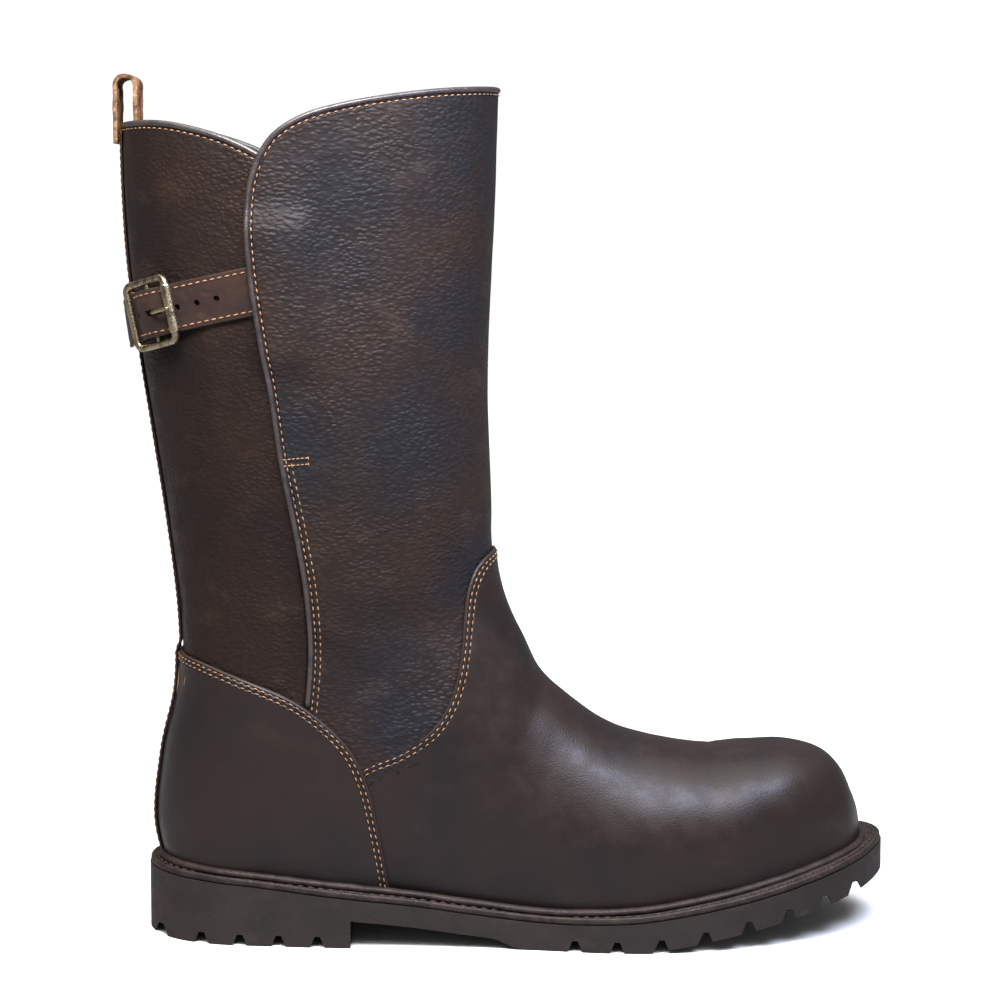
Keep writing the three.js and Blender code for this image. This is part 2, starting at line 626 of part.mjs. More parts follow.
// Backstay down the back seam, and the pull loop over the top edge
function backRoute(from, to, steps, lift) {
  const path = [];
  for (let k = 0; k <= steps; k += 1) {
    const z = from + ((to - from) * k) / steps;
    const station = stationAt(z, Math.PI);
    const normal = upperNormal(station, Math.PI);
    path.push({
      point: upperPoint(station, Math.PI).addScaledVector(normal, lift),
      normal,
      across: new THREE.Vector3(0, 1, 0),
    });
  }
  return path;
}
const backTopZ = mapZ(335.8);
const counterTopZ = mapZ(134.5);
const backstayLift = 1.5 * gap + backstayThick / 2;
const backstay = ribbon(backRoute(counterTopZ + 1.5, backTopZ - pipingWidth - gap, 16, backstayLift), backstayWidth, backstayThick);
const legOut = pipingProud + gap + loopThick / 2 + 0.9;
const legIn = -(panelThick + 3 * gap + liningThick + loopThick / 2 + 0.4);
const loopPath = [];
const outerX = mapX(-51) - legOut - 0.8;
const innerX = mapX(-51) - legIn + 1.2;
const loopTop = backTopZ + loopRise;
const loopMiddle = (outerX + innerX) / 2;
const loopHalf = (innerX - outerX) / 2;
const yAxis = new THREE.Vector3(0, 1, 0);
const addLoop = (x, z, nx, nz) => loopPath.push({
  point: new THREE.Vector3(x, 0, z),
  normal: new THREE.Vector3(nx, 0, nz).normalize(),
  across: yAxis,
});
for (let k = 0; k <= 5; k += 1) addLoop(outerX, backTopZ - 8 + ((loopRise - loopHalf * 1.3 + 8) * k) / 5, -1, 0);
for (let k = 1; k < 10; k += 1) {
  const t = Math.PI - (Math.PI * k) / 10;
  addLoop(loopMiddle + (loopHalf + 1.2 * Math.sin(t)) * Math.cos(t), loopTop - loopHalf * 1.3 * (1 - Math.sin(t)), Math.cos(t), Math.sin(t));
}
for (let k = 0; k <= 6; k += 1) addLoop(innerX, loopTop - loopHalf * 1.3 - ((loopRise - loopHalf * 1.3 + 18) * k) / 6, 1, 0);
const pullLoop = ribbon(loopPath, loopWidth, loopThick);

// Buckle, in its own frame: x along the strap, y along the bars, z outward
function ringTube(points, radius, sides) {
  const positions = [];
  const faces = [];
  const n = points.length;
  const z = new THREE.Vector3(0, 0, 1);
  points.forEach((p, k) => {
    const t = points[(k + 1) % n].clone().sub(points[(k + n - 1) % n]).normalize();
    const u = z.clone().addScaledVector(t, -z.dot(t)).normalize();
    const v = t.clone().cross(u);
    for (let j = 0; j < sides; j += 1) {
      const a = (2 * Math.PI * j) / sides;
      const q = p.clone().addScaledVector(u, radius * Math.cos(a)).addScaledVector(v, radius * Math.sin(a));
      positions.push(q.x, q.y, q.z);
      const i = k * sides + j;
      const r = k * sides + ((j + 1) % sides);
      const i2 = ((k + 1) % n) * sides + j;
      const r2 = ((k + 1) % n) * sides + ((j + 1) % sides);
      faces.push(i, r2, i2, i, r, r2);
    }
  });
  const made = solid(positions, faces);
  return made.volume() > 0 ? made : solid(positions, faces.reverse());
}
const halfWidth = strapWidth / 2 + sideClearance + frameRadius;
const frameLoop = [];
const corner = (cx, cy, start) => {
  for (let k = 0; k <= 4; k += 1) {
    const a = start + (Math.PI / 2) * (k / 4);
    frameLoop.push([cx + cornerRadius * Math.cos(a), cy + cornerRadius * Math.sin(a)]);
  }
};
corner(halfLength - cornerRadius, halfWidth - cornerRadius, 0);
frameLoop.push([4, halfWidth], [0, halfWidth], [-4, halfWidth]);
corner(cornerRadius - halfLength, halfWidth - cornerRadius, Math.PI / 2);
corner(cornerRadius - halfLength, cornerRadius - halfWidth, Math.PI);
frameLoop.push([-4, -halfWidth], [0, -halfWidth], [4, -halfWidth]);
corner(halfLength - cornerRadius, cornerRadius - halfWidth, (3 * Math.PI) / 2);
const bow = (x) => frameBow * (x / halfLength) ** 2;
const barAlongY = (radius, length, sides) => {
  const geometry = new THREE.CylinderGeometry(radius, radius, length, sides);
  return geometry;
};
const frame = ringTube(frameLoop.map(([x, y]) => new THREE.Vector3(x, y, bow(x))), frameRadius, 10)
  .add(solidOf(barAlongY(barRadius, 2 * halfWidth, 12)));
const rollerLength = 2 * (halfWidth - cornerRadius) - 0.6;
const rollerShape = new THREE.Shape();
rollerShape.absarc(0, 0, rollerRadius, 0, 2 * Math.PI);
const rollerHole = new THREE.Path();
rollerHole.absarc(0, 0, rollerBore, 0, 2 * Math.PI, true);
rollerShape.holes.push(rollerHole);
const rollerGeometry = new THREE.ExtrudeGeometry(rollerShape, { depth: rollerLength, bevelEnabled: false, curveSegments: 12 });
rollerGeometry.translate(0, 0, -rollerLength / 2);
rollerGeometry.rotateX(-Math.PI / 2);

// Prong: an eye round the middle bar and a rod out to the roller
const eyeShape = new THREE.Shape();
eyeShape.absarc(0, 0, barRadius + 0.15 + 1.1, 0, 2 * Math.PI);
const eyeHole = new THREE.Path();
eyeHole.absarc(0, 0, barRadius + 0.2, 0, 2 * Math.PI, true);
eyeShape.holes.push(eyeHole);
const eyeGeometry = new THREE.ExtrudeGeometry(eyeShape, { depth: 2 * prongRadius, bevelEnabled: false, curveSegments: 10 });
eyeGeometry.translate(0, 0, -prongRadius);
eyeGeometry.rotateX(-Math.PI / 2);
const prongRest = bow(halfLength) + rollerRadius + gap + prongRadius;
const prongCurve = new THREE.CatmullRomCurve3([
  new THREE.Vector3(1.2, 0, 1.2), new THREE.Vector3(2.6, 0, 2.6), new THREE.Vector3(5, 0, 4.1),
  new THREE.Vector3(9, 0, 4.6), new THREE.Vector3(halfLength, 0, prongRest), new THREE.Vector3(halfLength + 2.2, 0, prongRest - 0.5),
]);
const prongSection = new THREE.Shape();
prongSection.absarc(0, 0, prongRadius, 0, 2 * Math.PI);
const prongGeometry = new THREE.ExtrudeGeometry(prongSection, { extrudePath: prongCurve, steps: 12, bevelEnabled: false, curveSegments: 4 });
const prong = solidOf(eyeGeometry).add(solidOf(prongGeometry)).subtract(solidOf(barAlongY(barRadius + 0.2, 30, 12)));

// Materials
const look = (color, roughness, metalness = 0) => new THREE.MeshStandardMaterial({ color, roughness, metalness });
const grainLeather = () => look(0x3a2a24, 0.55);
const smoothLeather = () => look(0x33241f, 0.42);
const rawLeather = () => look(0x7d5a3c, 0.8);
const liningLeather = () => look(0xb08a62, 0.75);
const soleRubber = () => look(0x443a35, 0.7);
const oldBrass = () => look(0x7a6543, 0.38, 0.95);

function geometryOf(made) {
  const mesh = made.getMesh();
  const geometry = new THREE.BufferGeometry();
  geometry.setAttribute('position', new THREE.BufferAttribute(new Float32Array(mesh.vertProperties), 3));
  geometry.setIndex(new THREE.BufferAttribute(new Uint32Array(mesh.triVerts), 1));
  return geometry;
}

// Keeps the largest body of a cut piece, so crumbs at a feather edge don't stay.
const whole = (made) => made.decompose().reduce((b, p) => (p.volume() > b.volume() ? p : b));

const boot = new THREE.Group();
function put(parent, name, made, material) {
  const mesh = new THREE.Mesh(geometryOf(whole(made)), material);
  mesh.name = name;
  parent.add(mesh);
}
put(boot, 'outsole', outsole, soleRubber());
put(boot, 'welt', welt, look(0x352823, 0.5));
put(boot, 'cork_filler', filler, look(0x8a6a48, 0.9));
put(boot, 'shank', shank, look(0x8c8f94, 0.35, 1));
put(boot, 'insole_board', board, look(0xa98c66, 0.85));
put(boot, 'footbed', footbed, look(0x6b4f38, 0.85));
put(boot, 'toe_puff', toePuff, look(0x9a9184, 0.8));
put(boot, 'heel_stiffener', stiffener, look(0x9a9184, 0.8));
put(boot, 'vamp_lining', vampLining, liningLeather());
put(boot, 'shaft_lining', shaftLining, liningLeather());
put(boot, 'vamp', vamp, smoothLeather());
put(boot, 'heel_counter', counter, smoothLeather());
put(boot, 'shaft_front_panel', frontPanelCut, grainLeather());
put(boot, 'shaft_back_panel', backPanel, grainLeather());
put(boot, 'gusset', gusset, look(0x2a2320, 0.8));
put(boot, 'backstay', backstay, smoothLeather());
put(boot, 'piping_front', frontPiping, look(0x4a4648, 0.4));
put(boot, 'piping_back', backPiping, look(0x4a4648, 0.4));
put(boot, 'pull_loop', pullLoop, rawLeather());
put(boot, 'strap', strap, smoothLeather());
put(boot, 'buckle_tab', buckleTab, rawLeather());

const buckle = new THREE.Group();
buckle.position.copy(seat);
buckle.quaternion.setFromRotationMatrix(seatFrame);
put(buckle, 'buckle_frame', frame, oldBrass());
put(buckle, 'buckle_prong', prong, oldBrass());
const roller = new THREE.Group();
roller.position.set(halfLength, 0, bow(halfLength));
put(roller, 'buckle_roller', solidOf(rollerGeometry), oldBrass());
buckle.add(roller);
boot.add(buckle);

export default boot;
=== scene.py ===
# Riding boot for the right foot: its looks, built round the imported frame.
# Shapes are worked out in millimetres, +X to the toe and the outer side at -Y, and placed in metres.
import math

import bmesh
import bpy
import numpy as np
from mathutils import Matrix, Vector, noise


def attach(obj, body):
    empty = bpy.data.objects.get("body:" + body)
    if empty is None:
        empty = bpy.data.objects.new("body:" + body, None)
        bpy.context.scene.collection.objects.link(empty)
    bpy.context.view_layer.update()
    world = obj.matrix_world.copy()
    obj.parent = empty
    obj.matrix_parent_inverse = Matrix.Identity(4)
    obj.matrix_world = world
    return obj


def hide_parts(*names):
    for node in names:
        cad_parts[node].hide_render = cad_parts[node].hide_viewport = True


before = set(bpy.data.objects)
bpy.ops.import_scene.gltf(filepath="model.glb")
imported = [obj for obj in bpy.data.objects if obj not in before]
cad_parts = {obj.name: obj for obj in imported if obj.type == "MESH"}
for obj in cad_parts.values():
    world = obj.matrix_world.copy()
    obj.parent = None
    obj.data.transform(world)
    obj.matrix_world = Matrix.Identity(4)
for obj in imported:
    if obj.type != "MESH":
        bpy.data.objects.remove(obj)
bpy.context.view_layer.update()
mm = 0.001
scene = bpy.context.scene

# Camera, level ground and studio light
cameraLook = {"place": (85.7, -1018, 302.3), "turn": -1.05, "tilt": 4.5, "lens": 87.9, "shift": -0.102}
lightLook = {
    "sky": 0.2, "backdrop": 1.05,
    "overhead": {"place": (-100, -200, 1000), "spread": 80, "power": 3.4, "tone": (1.0, 0.985, 0.98)},
    "key": {"place": (10, -320, 590), "aim": (30, 0, 330), "size": 240, "power": 5.5, "tone": (1.0, 0.95, 0.92)},
    "rim": {"place": (380, -350, 690), "aim": (120, 0, 60), "size": 360, "power": 6.5, "tone": (0.66, 0.74, 1.0)},
}


def setCamera():
    data = bpy.data.cameras.new("camera")
    data.lens, data.sensor_width, data.shift_y = cameraLook["lens"], 36, cameraLook["shift"]
    data.clip_start, data.clip_end = 0.05, 20
    camera = bpy.data.objects.new("camera", data)
    camera.location = Vector(cameraLook["place"]) * mm
    camera.rotation_euler = (math.radians(90 - cameraLook["tilt"]), 0, math.radians(cameraLook["turn"]))
    scene.collection.objects.link(camera)
    scene.camera = camera


def setLights():
    for name in ("overhead", "key", "rim"):
        look = lightLook[name]
        data = bpy.data.lights.new(name, "SUN" if "spread" in look else "AREA")
        data.energy, data.color = look["power"], look["tone"]
        if "spread" in look:
            data.angle = math.radians(look["spread"])
        else:
            data.shape, data.size = "DISK", look["size"] * mm
        lamp = bpy.data.objects.new(name, data)
        lamp.location = Vector(look["place"]) * mm
        toward = Vector(look.get("aim", (0, 0, 0))) - Vector(look["place"])
        lamp.rotation_euler = toward.to_track_quat("-Z", "Y").to_euler()
        scene.collection.objects.link(lamp)
    world = bpy.data.worlds.new("studio")
    world.use_nodes = True
    tree = world.node_tree
    seen = tree.nodes.new("ShaderNodeMapRange")
    seen.inputs["To Min"].default_value, seen.inputs["To Max"].default_value = lightLook["sky"], lightLook["backdrop"]
    tree.links.new(tree.nodes.new("ShaderNodeLightPath").outputs["Is Camera Ray"], seen.inputs["Value"])
    tree.links.new(seen.outputs["Result"], tree.nodes["Background"].inputs["Strength"])
    tree.nodes["Background"].inputs["Color"].default_value = (1, 1, 1, 1)
    scene.world = world
    scene.view_settings.view_transform = "Standard"


# Materials
class Value:
    def __init__(self, finish, socket):
        self.finish, self.socket = finish, socket

    def math(self, operation, *others):
        return self.finish.node("Math", {"operation": operation}, dict(enumerate([self, *others])))

    def __add__(self, other):
        return self.math("ADD", other)

    def __sub__(self, other):
        return self.math("SUBTRACT", other)

    def __rsub__(self, other):
        return self.finish.node("Math", {"operation": "SUBTRACT"}, {0: other, 1: self})

    def __mul__(self, other):
        return self.math("MULTIPLY", other)

    __radd__, __rmul__ = __add__, __mul__

    def between(self, low, high):
        values = {"Value": self, "From Min": low, "From Max": high}
        return self.finish.node("MapRange", {"interpolation_type": "SMOOTHSTEP"}, values)

    def near(self, middle, width):
        return 1 - (self - middle).math("ABSOLUTE").between(0, width)


class Finish:
    def __init__(self, name):
        self.material = bpy.data.materials.new(name)
        self.material.use_nodes = True
        self.tree = self.material.node_tree
        self.surface = self.tree.nodes["Principled BSDF"]
        self.place = self.node("TexCoord", output="Object")

    def node(self, kind, settings=None, values=None, output=0):
        made = self.tree.nodes.new("ShaderNode" + kind)
        for key, value in (settings or {}).items():
            setattr(made, key, value)
        for key, value in (values or {}).items():
            self.feed(made.inputs[key], value)
        return Value(self, made.outputs[output])

    def feed(self, socket, value):
        if isinstance(value, Value):
            self.tree.links.new(value.socket, socket)
        else:
            socket.default_value = value

    def mix(self, share, a, b):
        return self.node("Mix", {"data_type": "RGBA"}, {0: share, 6: a, 7: b}, output=2)

    def cloud(self, scale, detail=2.0, stretch=(1, 1, 1)):
        at = self.node("Mapping", None, {"Vector": self.place, "Scale": stretch})
        return self.node("TexNoise", None, {"Vector": at, "Scale": scale, "Detail": detail, "Roughness": 0.55})

    def attribute(self, name):
        return self.node("Attribute", {"attribute_name": name}, output="Fac")


def tone(red, green, blue):
    linear = [(c / 255 / 12.92) if c < 10 else ((c / 255 + 0.055) / 1.055) ** 2.4 for c in (red, green, blue)]
    return (*linear, 1)


# Every finish: main, second and worn colour, and relief in millimetres. "patches" are pull-up marks: x, z, radius.
plainFinish = {"share": (0.4, 0.7), "fine": 0.05, "scuff": 0.3, "shine": 0.4, "metal": 0.0, "grainStretch": (1, 1, 1)}
finishLooks = {
    "grainLeather": {
        "tones": ((46, 34, 29), (37, 30, 27), (84, 70, 64)), "cloud": 17, "share": (0.4, 0.68),
        "grain": 0.24, "grainScale": 560, "grainStretch": (0.7, 0.7, 1.35), "rough": (0.4, 0.54), "shine": 0.17,
        "patches": [(40, 302, 36), (90, 326, 26), (20, 212, 26), (66, 210, 28), (84, 258, 20), (62, 96, 30),
            (98, 146, 22)],
        "patchTone": (30, 31, 36), "scuff": 0.2, "groove": "shaft",
    },
    "backLeather": {
        "tones": ((39, 27, 22), (29, 22, 20), (76, 57, 46)), "cloud": 20, "share": (0.4, 0.68),
        "grain": 0.2, "grainScale": 600, "grainStretch": (0.8, 0.8, 1.2), "rough": (0.42, 0.56), "shine": 0.15,
        "scuff": 0.25, "groove": "single",
    },
    "smoothLeather": {
        "tones": ((37, 28, 25), (29, 24, 25), (66, 53, 46)), "cloud": 22, "share": (0.38, 0.68),
        "fine": 0.04, "pores": 0.03, "rough": (0.34, 0.46), "scuff": 0.15, "groove": "double", "shine": 0.26,
    },
    "strapLeather": {
        "tones": ((52, 38, 33), (43, 33, 31), (84, 66, 58)), "cloud": 60,
        "pores": 0.03, "rough": (0.36, 0.5), "scuff": 0.2, "shine": 0.2,
    },
    "pipingLeather": {
        "tones": ((56, 48, 47), (40, 35, 36), (108, 100, 100)), "cloud": 120, "share": (0.4, 0.65),
        "pores": 0.03, "rough": (0.3, 0.42), "shine": 0.7,
    },
    "rawLeather": {
        "tones": ((142, 108, 78), (84, 58, 42), (186, 156, 122)), "cloud": 150, "share": (0.4, 0.62),
        "grain": 0.12, "grainScale": 700, "fine": 0.12, "rough": (0.7, 0.85), "scuff": 0.6, "shine": 0.1,
    },
    "liningLeather": {
        "tones": ((150, 116, 84), (124, 94, 68), (176, 146, 112)), "cloud": 30, "share": (0.35, 0.7),
        "pores": 0.04, "rough": (0.6, 0.75), "scuff": 0.2,
    },
    "weltLeather": {
        "tones": ((45, 35, 31), (32, 25, 23), (74, 62, 55)), "cloud": 140, "share": (0.4, 0.62),
        "fine": 0.1, "pores": 0.05, "rough": (0.45, 0.6), "scuff": 0.4, "shine": 0.25,
    },
    "soleRubber": {
        "tones": ((46, 40, 38), (38, 34, 32), (66, 58, 54)), "cloud": 40,
        "fine": 0.07, "pores": 0.06, "rough": (0.58, 0.72), "scuff": 0.25, "shine": 0.25,
    },
    "brass": {
        "tones": ((172, 158, 132), (122, 108, 86), (222, 212, 190)), "cloud": 260, "share": (0.46, 0.66),
        "fine": 0.02, "rough": (0.22, 0.42), "scuff": 0.6, "metal": 1.0,
    },
    "steel": {
        "tones": ((150, 152, 156), (112, 114, 118), (190, 190, 192)), "cloud": 80,
        "fine": 0.02, "rough": (0.3, 0.45), "metal": 1.0,
    },
    "thread": {
        "tones": ((160, 122, 92), (128, 96, 72), (190, 156, 124)), "cloud": 300, "share": (0.35, 0.65),
        "fine": 0.08, "rough": (0.6, 0.75),
    },
    "darkThread": {
        "tones": ((52, 42, 38), (38, 32, 30), (84, 72, 66)), "cloud": 300, "share": (0.35, 0.65),
        "fine": 0.06, "rough": (0.55, 0.7),
    },
    "gussetCloth": {
        "tones": ((40, 34, 32), (28, 24, 23), (60, 52, 48)), "cloud": 200, "share": (0.4, 0.6),
        "grain": 0.15, "grainScale": 1400, "rough": (0.8, 0.9), "scuff": 0.1,
    },
    "cork": {
        "tones": ((158, 122, 84), (104, 74, 50), (188, 156, 118)), "cloud": 500, "share": (0.45, 0.6),
        "grain": 0.2, "grainScale": 500, "fine": 0.1, "rough": (0.85, 0.95),
    },
    "board": {
        "tones": ((176, 148, 110), (150, 122, 88), (196, 170, 136)), "cloud": 90, "share": (0.35, 0.65),
        "fine": 0.08, "pores": 0.05, "rough": (0.8, 0.9), "scuff": 0.2,
    },
    "felt": {
        "tones": ((120, 92, 68), (98, 74, 54), (146, 118, 92)), "cloud": 60, "share": (0.35, 0.65),
        "fine": 0.1, "pores": 0.08, "rough": (0.8, 0.92),
    },
}
grooveRows = {"double": (1.5, 3.3), "single": (2.9,), "shaft": (2.9,)}
finishes = {}


def finish(name):
    if name in finishes:
        return finishes[name].material
    look = {**plainFinish, **finishLooks[name]}
    f = Finish(name)
    main, second, wornTone = (tone(*rgb) for rgb in look["tones"])
    colour = f.mix(f.cloud(look["cloud"], 3).between(*look["share"]), main, second)
    small = f.cloud(look["cloud"] * 6, 2)
    rough = look["rough"][0] + (look["rough"][1] - look["rough"][0]) * small.between(0.3, 0.7)
    if "patches" in look:
        apart = f.node("SeparateXYZ", None, {0: f.place})
        east, height = apart, Value(f, apart.socket.node.outputs["Z"])
        blotch = None
        wobble = f.cloud(30, 2) * 0.03 - 0.015
        for x, z, radius in look["patches"]:
            dx, dz = east - x * mm + wobble, (height - z * mm + wobble) * 0.75
            one = 1 - (dx * dx + dz * dz).math("SQRT").between(radius * 0.2 * mm, radius * 1.35 * mm)
            blotch = one if blotch is None else blotch.math("MAXIMUM", one)
        colour = f.mix(blotch * (0.55 + 0.4 * f.cloud(60, 2).between(0.3, 0.6)), colour, tone(*look["patchTone"]))
    relief = (f.cloud(900, 2) - 0.5) * look["fine"]
    worn = f.cloud(look["cloud"] * 2.2, 4, (1, 1, 1.6)).between(0.56, 0.74) * look["scuff"]
    if "grain" in look:
        warp = f.node("VectorMath", {"operation": "MULTIPLY_ADD"},
            {0: f.node("TexNoise", None, {"Vector": f.place, "Scale": 160}, output="Color"), 1: (0.0022,) * 3,
                2: f.place})
        at = f.node("Mapping", None, {"Vector": warp, "Rotation": (0, 0.4, 0), "Scale": look["grainStretch"]})
        cells = f.node("TexVoronoi", {"feature": "SMOOTH_F1"},
            {"Vector": at, "Scale": look["grainScale"], "Smoothness": 0.6})
        pebble = 1 - cells.between(0.15, 0.75)
        relief = relief + pebble * look["grain"] * (0.7 + 0.4 * f.cloud(50, 2).between(0.35, 0.65))
        # painted shade: the colour darkens in the hollows between the grain's pebbles
        colour = f.mix((1 - pebble) * 0.35, colour, tone(24, 19, 18))
        worn = worn * (0.4 + 0.6 * pebble)
    if "pores" in look:
        pores = f.node("TexVoronoi", None, {"Vector": f.place, "Scale": 1300})
        relief = relief + pores.between(0.1, 0.6) * look["pores"]
    if "groove" in look:
        edge = f.attribute("edge")
        for row in grooveRows[look["groove"]]:
            line = edge.near(row, 0.75)
            relief = relief - line * 0.35
            # painted shade: the colour darkens inside each stitch row's pressed groove
            colour = f.mix(line * 0.45, colour, tone(22, 17, 16))
        worn = worn.math("MAXIMUM", (1 - edge.between(0.1, 1.1)) * 0.4)
    colour = f.mix(worn.math("MINIMUM", 0.85), colour, wornTone)
    bump = f.node("Bump", None, {"Height": relief, "Distance": mm, "Strength": 1.0})
    f.feed(f.surface.inputs["Base Color"], colour)
    f.feed(f.surface.inputs["Roughness"], rough)
    f.feed(f.surface.inputs["Normal"], bump)
    f.surface.inputs["Metallic"].default_value = look["metal"]
    f.surface.inputs["Specular IOR Level"].default_value = look["shine"]
    finishes[name] = f
    return f.material


# The upper's outer face: sections from the toe to the top, each in a plane square to the side view.
# front x z, back x z, outer and inner half widths, middle y, widest share from the back, roundness back and front
sectionRows = np.array([
    [256.5, 40, 256.5, 39, 0.2, 0.2, 7, 0.5, 2.2, 2.2],
    [255.2, 47, 255.2, 24, 7.5, 7.5, 7, 0.62, 3, 2.1],
    [252.6, 54, 253, 22.5, 14, 14, 6.5, 0.56, 3.4, 2.2],
    [248.2, 63.5, 248.5, 21, 20, 19.5, 6, 0.48, 4, 2.3],
    [240, 70.6, 240, 18.8, 26.5, 26, 5.5, 0.42, 4.6, 2.5],
    [226, 73.8, 226, 16, 34, 34, 5, 0.38, 5, 2.6],
    [210, 73.4, 210, 12.5, 39, 39.5, 4, 0.38, 5, 2.5],
    [193, 73.6, 193, 9, 43, 43.5, 3.5, 0.36, 5, 2.3],
    [172, 77, 172, 5.4, 45.5, 46.5, 3, 0.36, 5, 2.1],
    [154, 82.3, 152, 3.2, 45, 46, 2.5, 0.36, 5, 2.0],
    [140, 90.8, 126, 2.6, 42, 42, 1.5, 0.37, 4.8, 2.0],
    [128.5, 100.2, 98, 5, 37.5, 37, 0, 0.4, 4.6, 2.0],
    [119.5, 110.6, 66, 9, 35, 33.5, -1.5, 0.44, 4.2, 2.0],
    [113, 120.8, 34, 12.4, 34.5, 32, -2, 0.47, 3.8, 2.1],
    [108, 130.6, 2, 15.5, 35, 32.5, -1.8, 0.5, 3.3, 2.2],
    [104.4, 140.5, -26, 17.5, 35.5, 33.5, -1, 0.52, 2.7, 2.2],
    [102, 150.5, -37.6, 42, 36, 35, 0, 0.52, 2.35, 2.2],
    [101, 161, -35.4, 74, 37, 37, 0, 0.5, 2.3, 2.2],
    [100.6, 173, -29.2, 103, 39, 39, 0, 0.5, 2.25, 2.2],
    [100.2, 188, -29.2, 134, 41, 41, 0, 0.5, 2.25, 2.2],
    [99.5, 206, -33.4, 171, 43, 43, 0, 0.5, 2.25, 2.2],
    [99.2, 226, -39.2, 210, 45, 45, 0, 0.5, 2.25, 2.2],
    [99.8, 250, -44.6, 246, 47, 47, 0, 0.5, 2.25, 2.25],
    [101.2, 280, -48.8, 280, 48.5, 48.5, 0, 0.5, 2.25, 2.25],
    [102.8, 315, -50.7, 315, 50, 50, 0, 0.5, 2.25, 2.25],
    [103.8, 352, -51, 352, 50.5, 50.5, 0, 0.5, 2.25, 2.25],
    [104, 390, -51, 390, 50.5, 50.5, 0, 0.5, 2.25, 2.25],
])
soleRows = np.array([  # x, top edge, tread
    [-45, 27.2, 0], [0, 24.4, 0], [43, 19.9, 0], [63, 17.8, 0], [96, 13.6, 0], [120, 11.2, 0], [140, 11.1, 0],
    [160, 12.2, 0.2], [180, 15, 2.8], [200, 18.4, 6.4], [220, 22.4, 10.3], [240, 26.8, 14.6], [255, 30.2, 18.1],
    [270, 33.6, 21.6],
])


def throughRows(rows, at):
    last = len(rows) - 1
    at = np.clip(at, 0, last)
    k = np.minimum(at.astype(int), last - 1)
    t = (at - k)[:, None]
    a, b, c, d = (rows[np.clip(k + i, 0, last)] for i in (-1, 0, 1, 2))
    v, w = (c - a) / 2, (d - b) / 2
    return (2 * b - 2 * c + v + w) * t**3 + (3 * c - 3 * b - 2 * v - w) * t * t + v * t + b


def soleHeight(x, column=1):
    return throughRows(soleRows, np.interp(np.atleast_1d(x), soleRows[:, 0], np.arange(len(soleRows))))[:, column]


def smooth(low, high, value):
    t = np.clip((value - low) / (high - low), 0, 1)
    return t * t * (3 - 2 * t)


def skin(station, angle):  # points on the face, the front at angle 0 and the outer side below half a turn
    row = throughRows(sectionRows, station)
    run = row[:, 0:2] - row[:, 2:4]
    c, s = np.cos(angle), np.sin(angle)
    n = np.where(c > 0, row[:, 9], row[:, 8])
    reach = (np.abs(c) ** n + np.abs(s) ** n) ** (-1 / n)
    share = row[:, 7] + c * reach * np.where(c > 0, 1 - row[:, 7], row[:, 7])
    across = row[:, 6] - s * reach * np.where(s > 0, row[:, 4], row[:, 5])
    side = row[:, 2:4] + run * share[:, None]
    return np.stack([side[:, 0], across, side[:, 1]], 1)


def unit(v):
    return v / np.maximum(np.linalg.norm(v, axis=1), 1e-12)[:, None]


def skinNormal(station, angle):
    e = 0.02
    dv = skin(np.minimum(station + e, 26), angle) - skin(np.maximum(station - e, 0.001), angle)
    return unit(np.cross(dv, skin(station, angle + e) - skin(station, angle - e)))


def runAlong(points):
    return np.concatenate([[0], np.cumsum(np.linalg.norm(np.diff(points, axis=0), axis=1))])


def atSteps(steps, run, values):
    return np.stack([np.interp(steps, run, column) for column in values.T], 1)


def circle(count):
    return np.linspace(0, 2 * math.pi, count, endpoint=False)


def flow(points, steps):
    points = np.array(points, float)
    return throughRows(points, np.linspace(0, len(points) - 1, steps))


# Seams as they run in the side view, x and z
panelTop = [[118, 351.6], [85, 349.3], [63, 346.7], [42, 343], [26, 338.4], [14, 331.2], [8, 322.8]]
panelRear = [[8, 322.8], [4, 311], [2.9, 295], [4.6, 272], [8, 249], [11.8, 225], [15.4, 199], [20.4, 173],
    [24.6, 147], [26, 122], [24.2, 98], [21, 70]]
panelEdge = np.concatenate([flow(panelTop, 50), flow(panelRear, 90)[1:]])
backTop = flow([[-75, 334], [-52, 336], [-34, 336.2], [-18, 333.4], [-3, 328.6], [10, 322], [30, 310]], 50)
vampEdge = flow([[40, 69], [50, 75.2], [63, 80.4], [75, 88.4], [82.8, 100], [87, 115], [88.6, 132], [90.2, 145],
    [95, 155], [104, 160.6], [118, 164]], 80)
counterEdge = flow([[-75, 124], [-48, 120.4], [-30, 117.6], [-14, 114.6], [14, 104.6], [30, 94.2], [43, 80.8],
    [50, 65.5], [54, 48], [57.4, 30], [62, 0]], 80)
liningSeam = flow([[30, 0], [52, 60], [78, 112], [108, 150], [140, 170]], 30)


def fromLine(line, p):  # signed distance in the side view, positive to the left of the line's run
    best, signed = np.full(len(p), 1e9), np.zeros(len(p))
    for a, b in zip(line[:-1], line[1:]):
        run = b - a
        x, z = p[:, 0] - a[0], p[:, 2] - a[1]
        t = np.clip((x * run[0] + z * run[1]) / (run @ run), 0, 1)
        apart = np.hypot(x - run[0] * t, z - run[1] * t)
        turn = run[0] * z - run[1] * x
        closer = apart < best - 1e-9
        best = np.where(closer, apart, best)
        signed = np.where(closer, np.sign(turn) * apart, signed)
    return signed


def onSole(p, height=0.3):
    return p[:, 2] - soleHeight(p[:, 0]) - height


# Leathers
layers = {"panel": 1.5, "lining": 1.0, "gap": 0.3, "lap": 8, "piping": 1.8, "puff": 1.0}
lapLift = layers["panel"] + layers["gap"]


def liftFade(p):
    counter = fromLine(counterEdge, p)
    return np.where(counter < 0, 0, smooth(24, 34, counter))


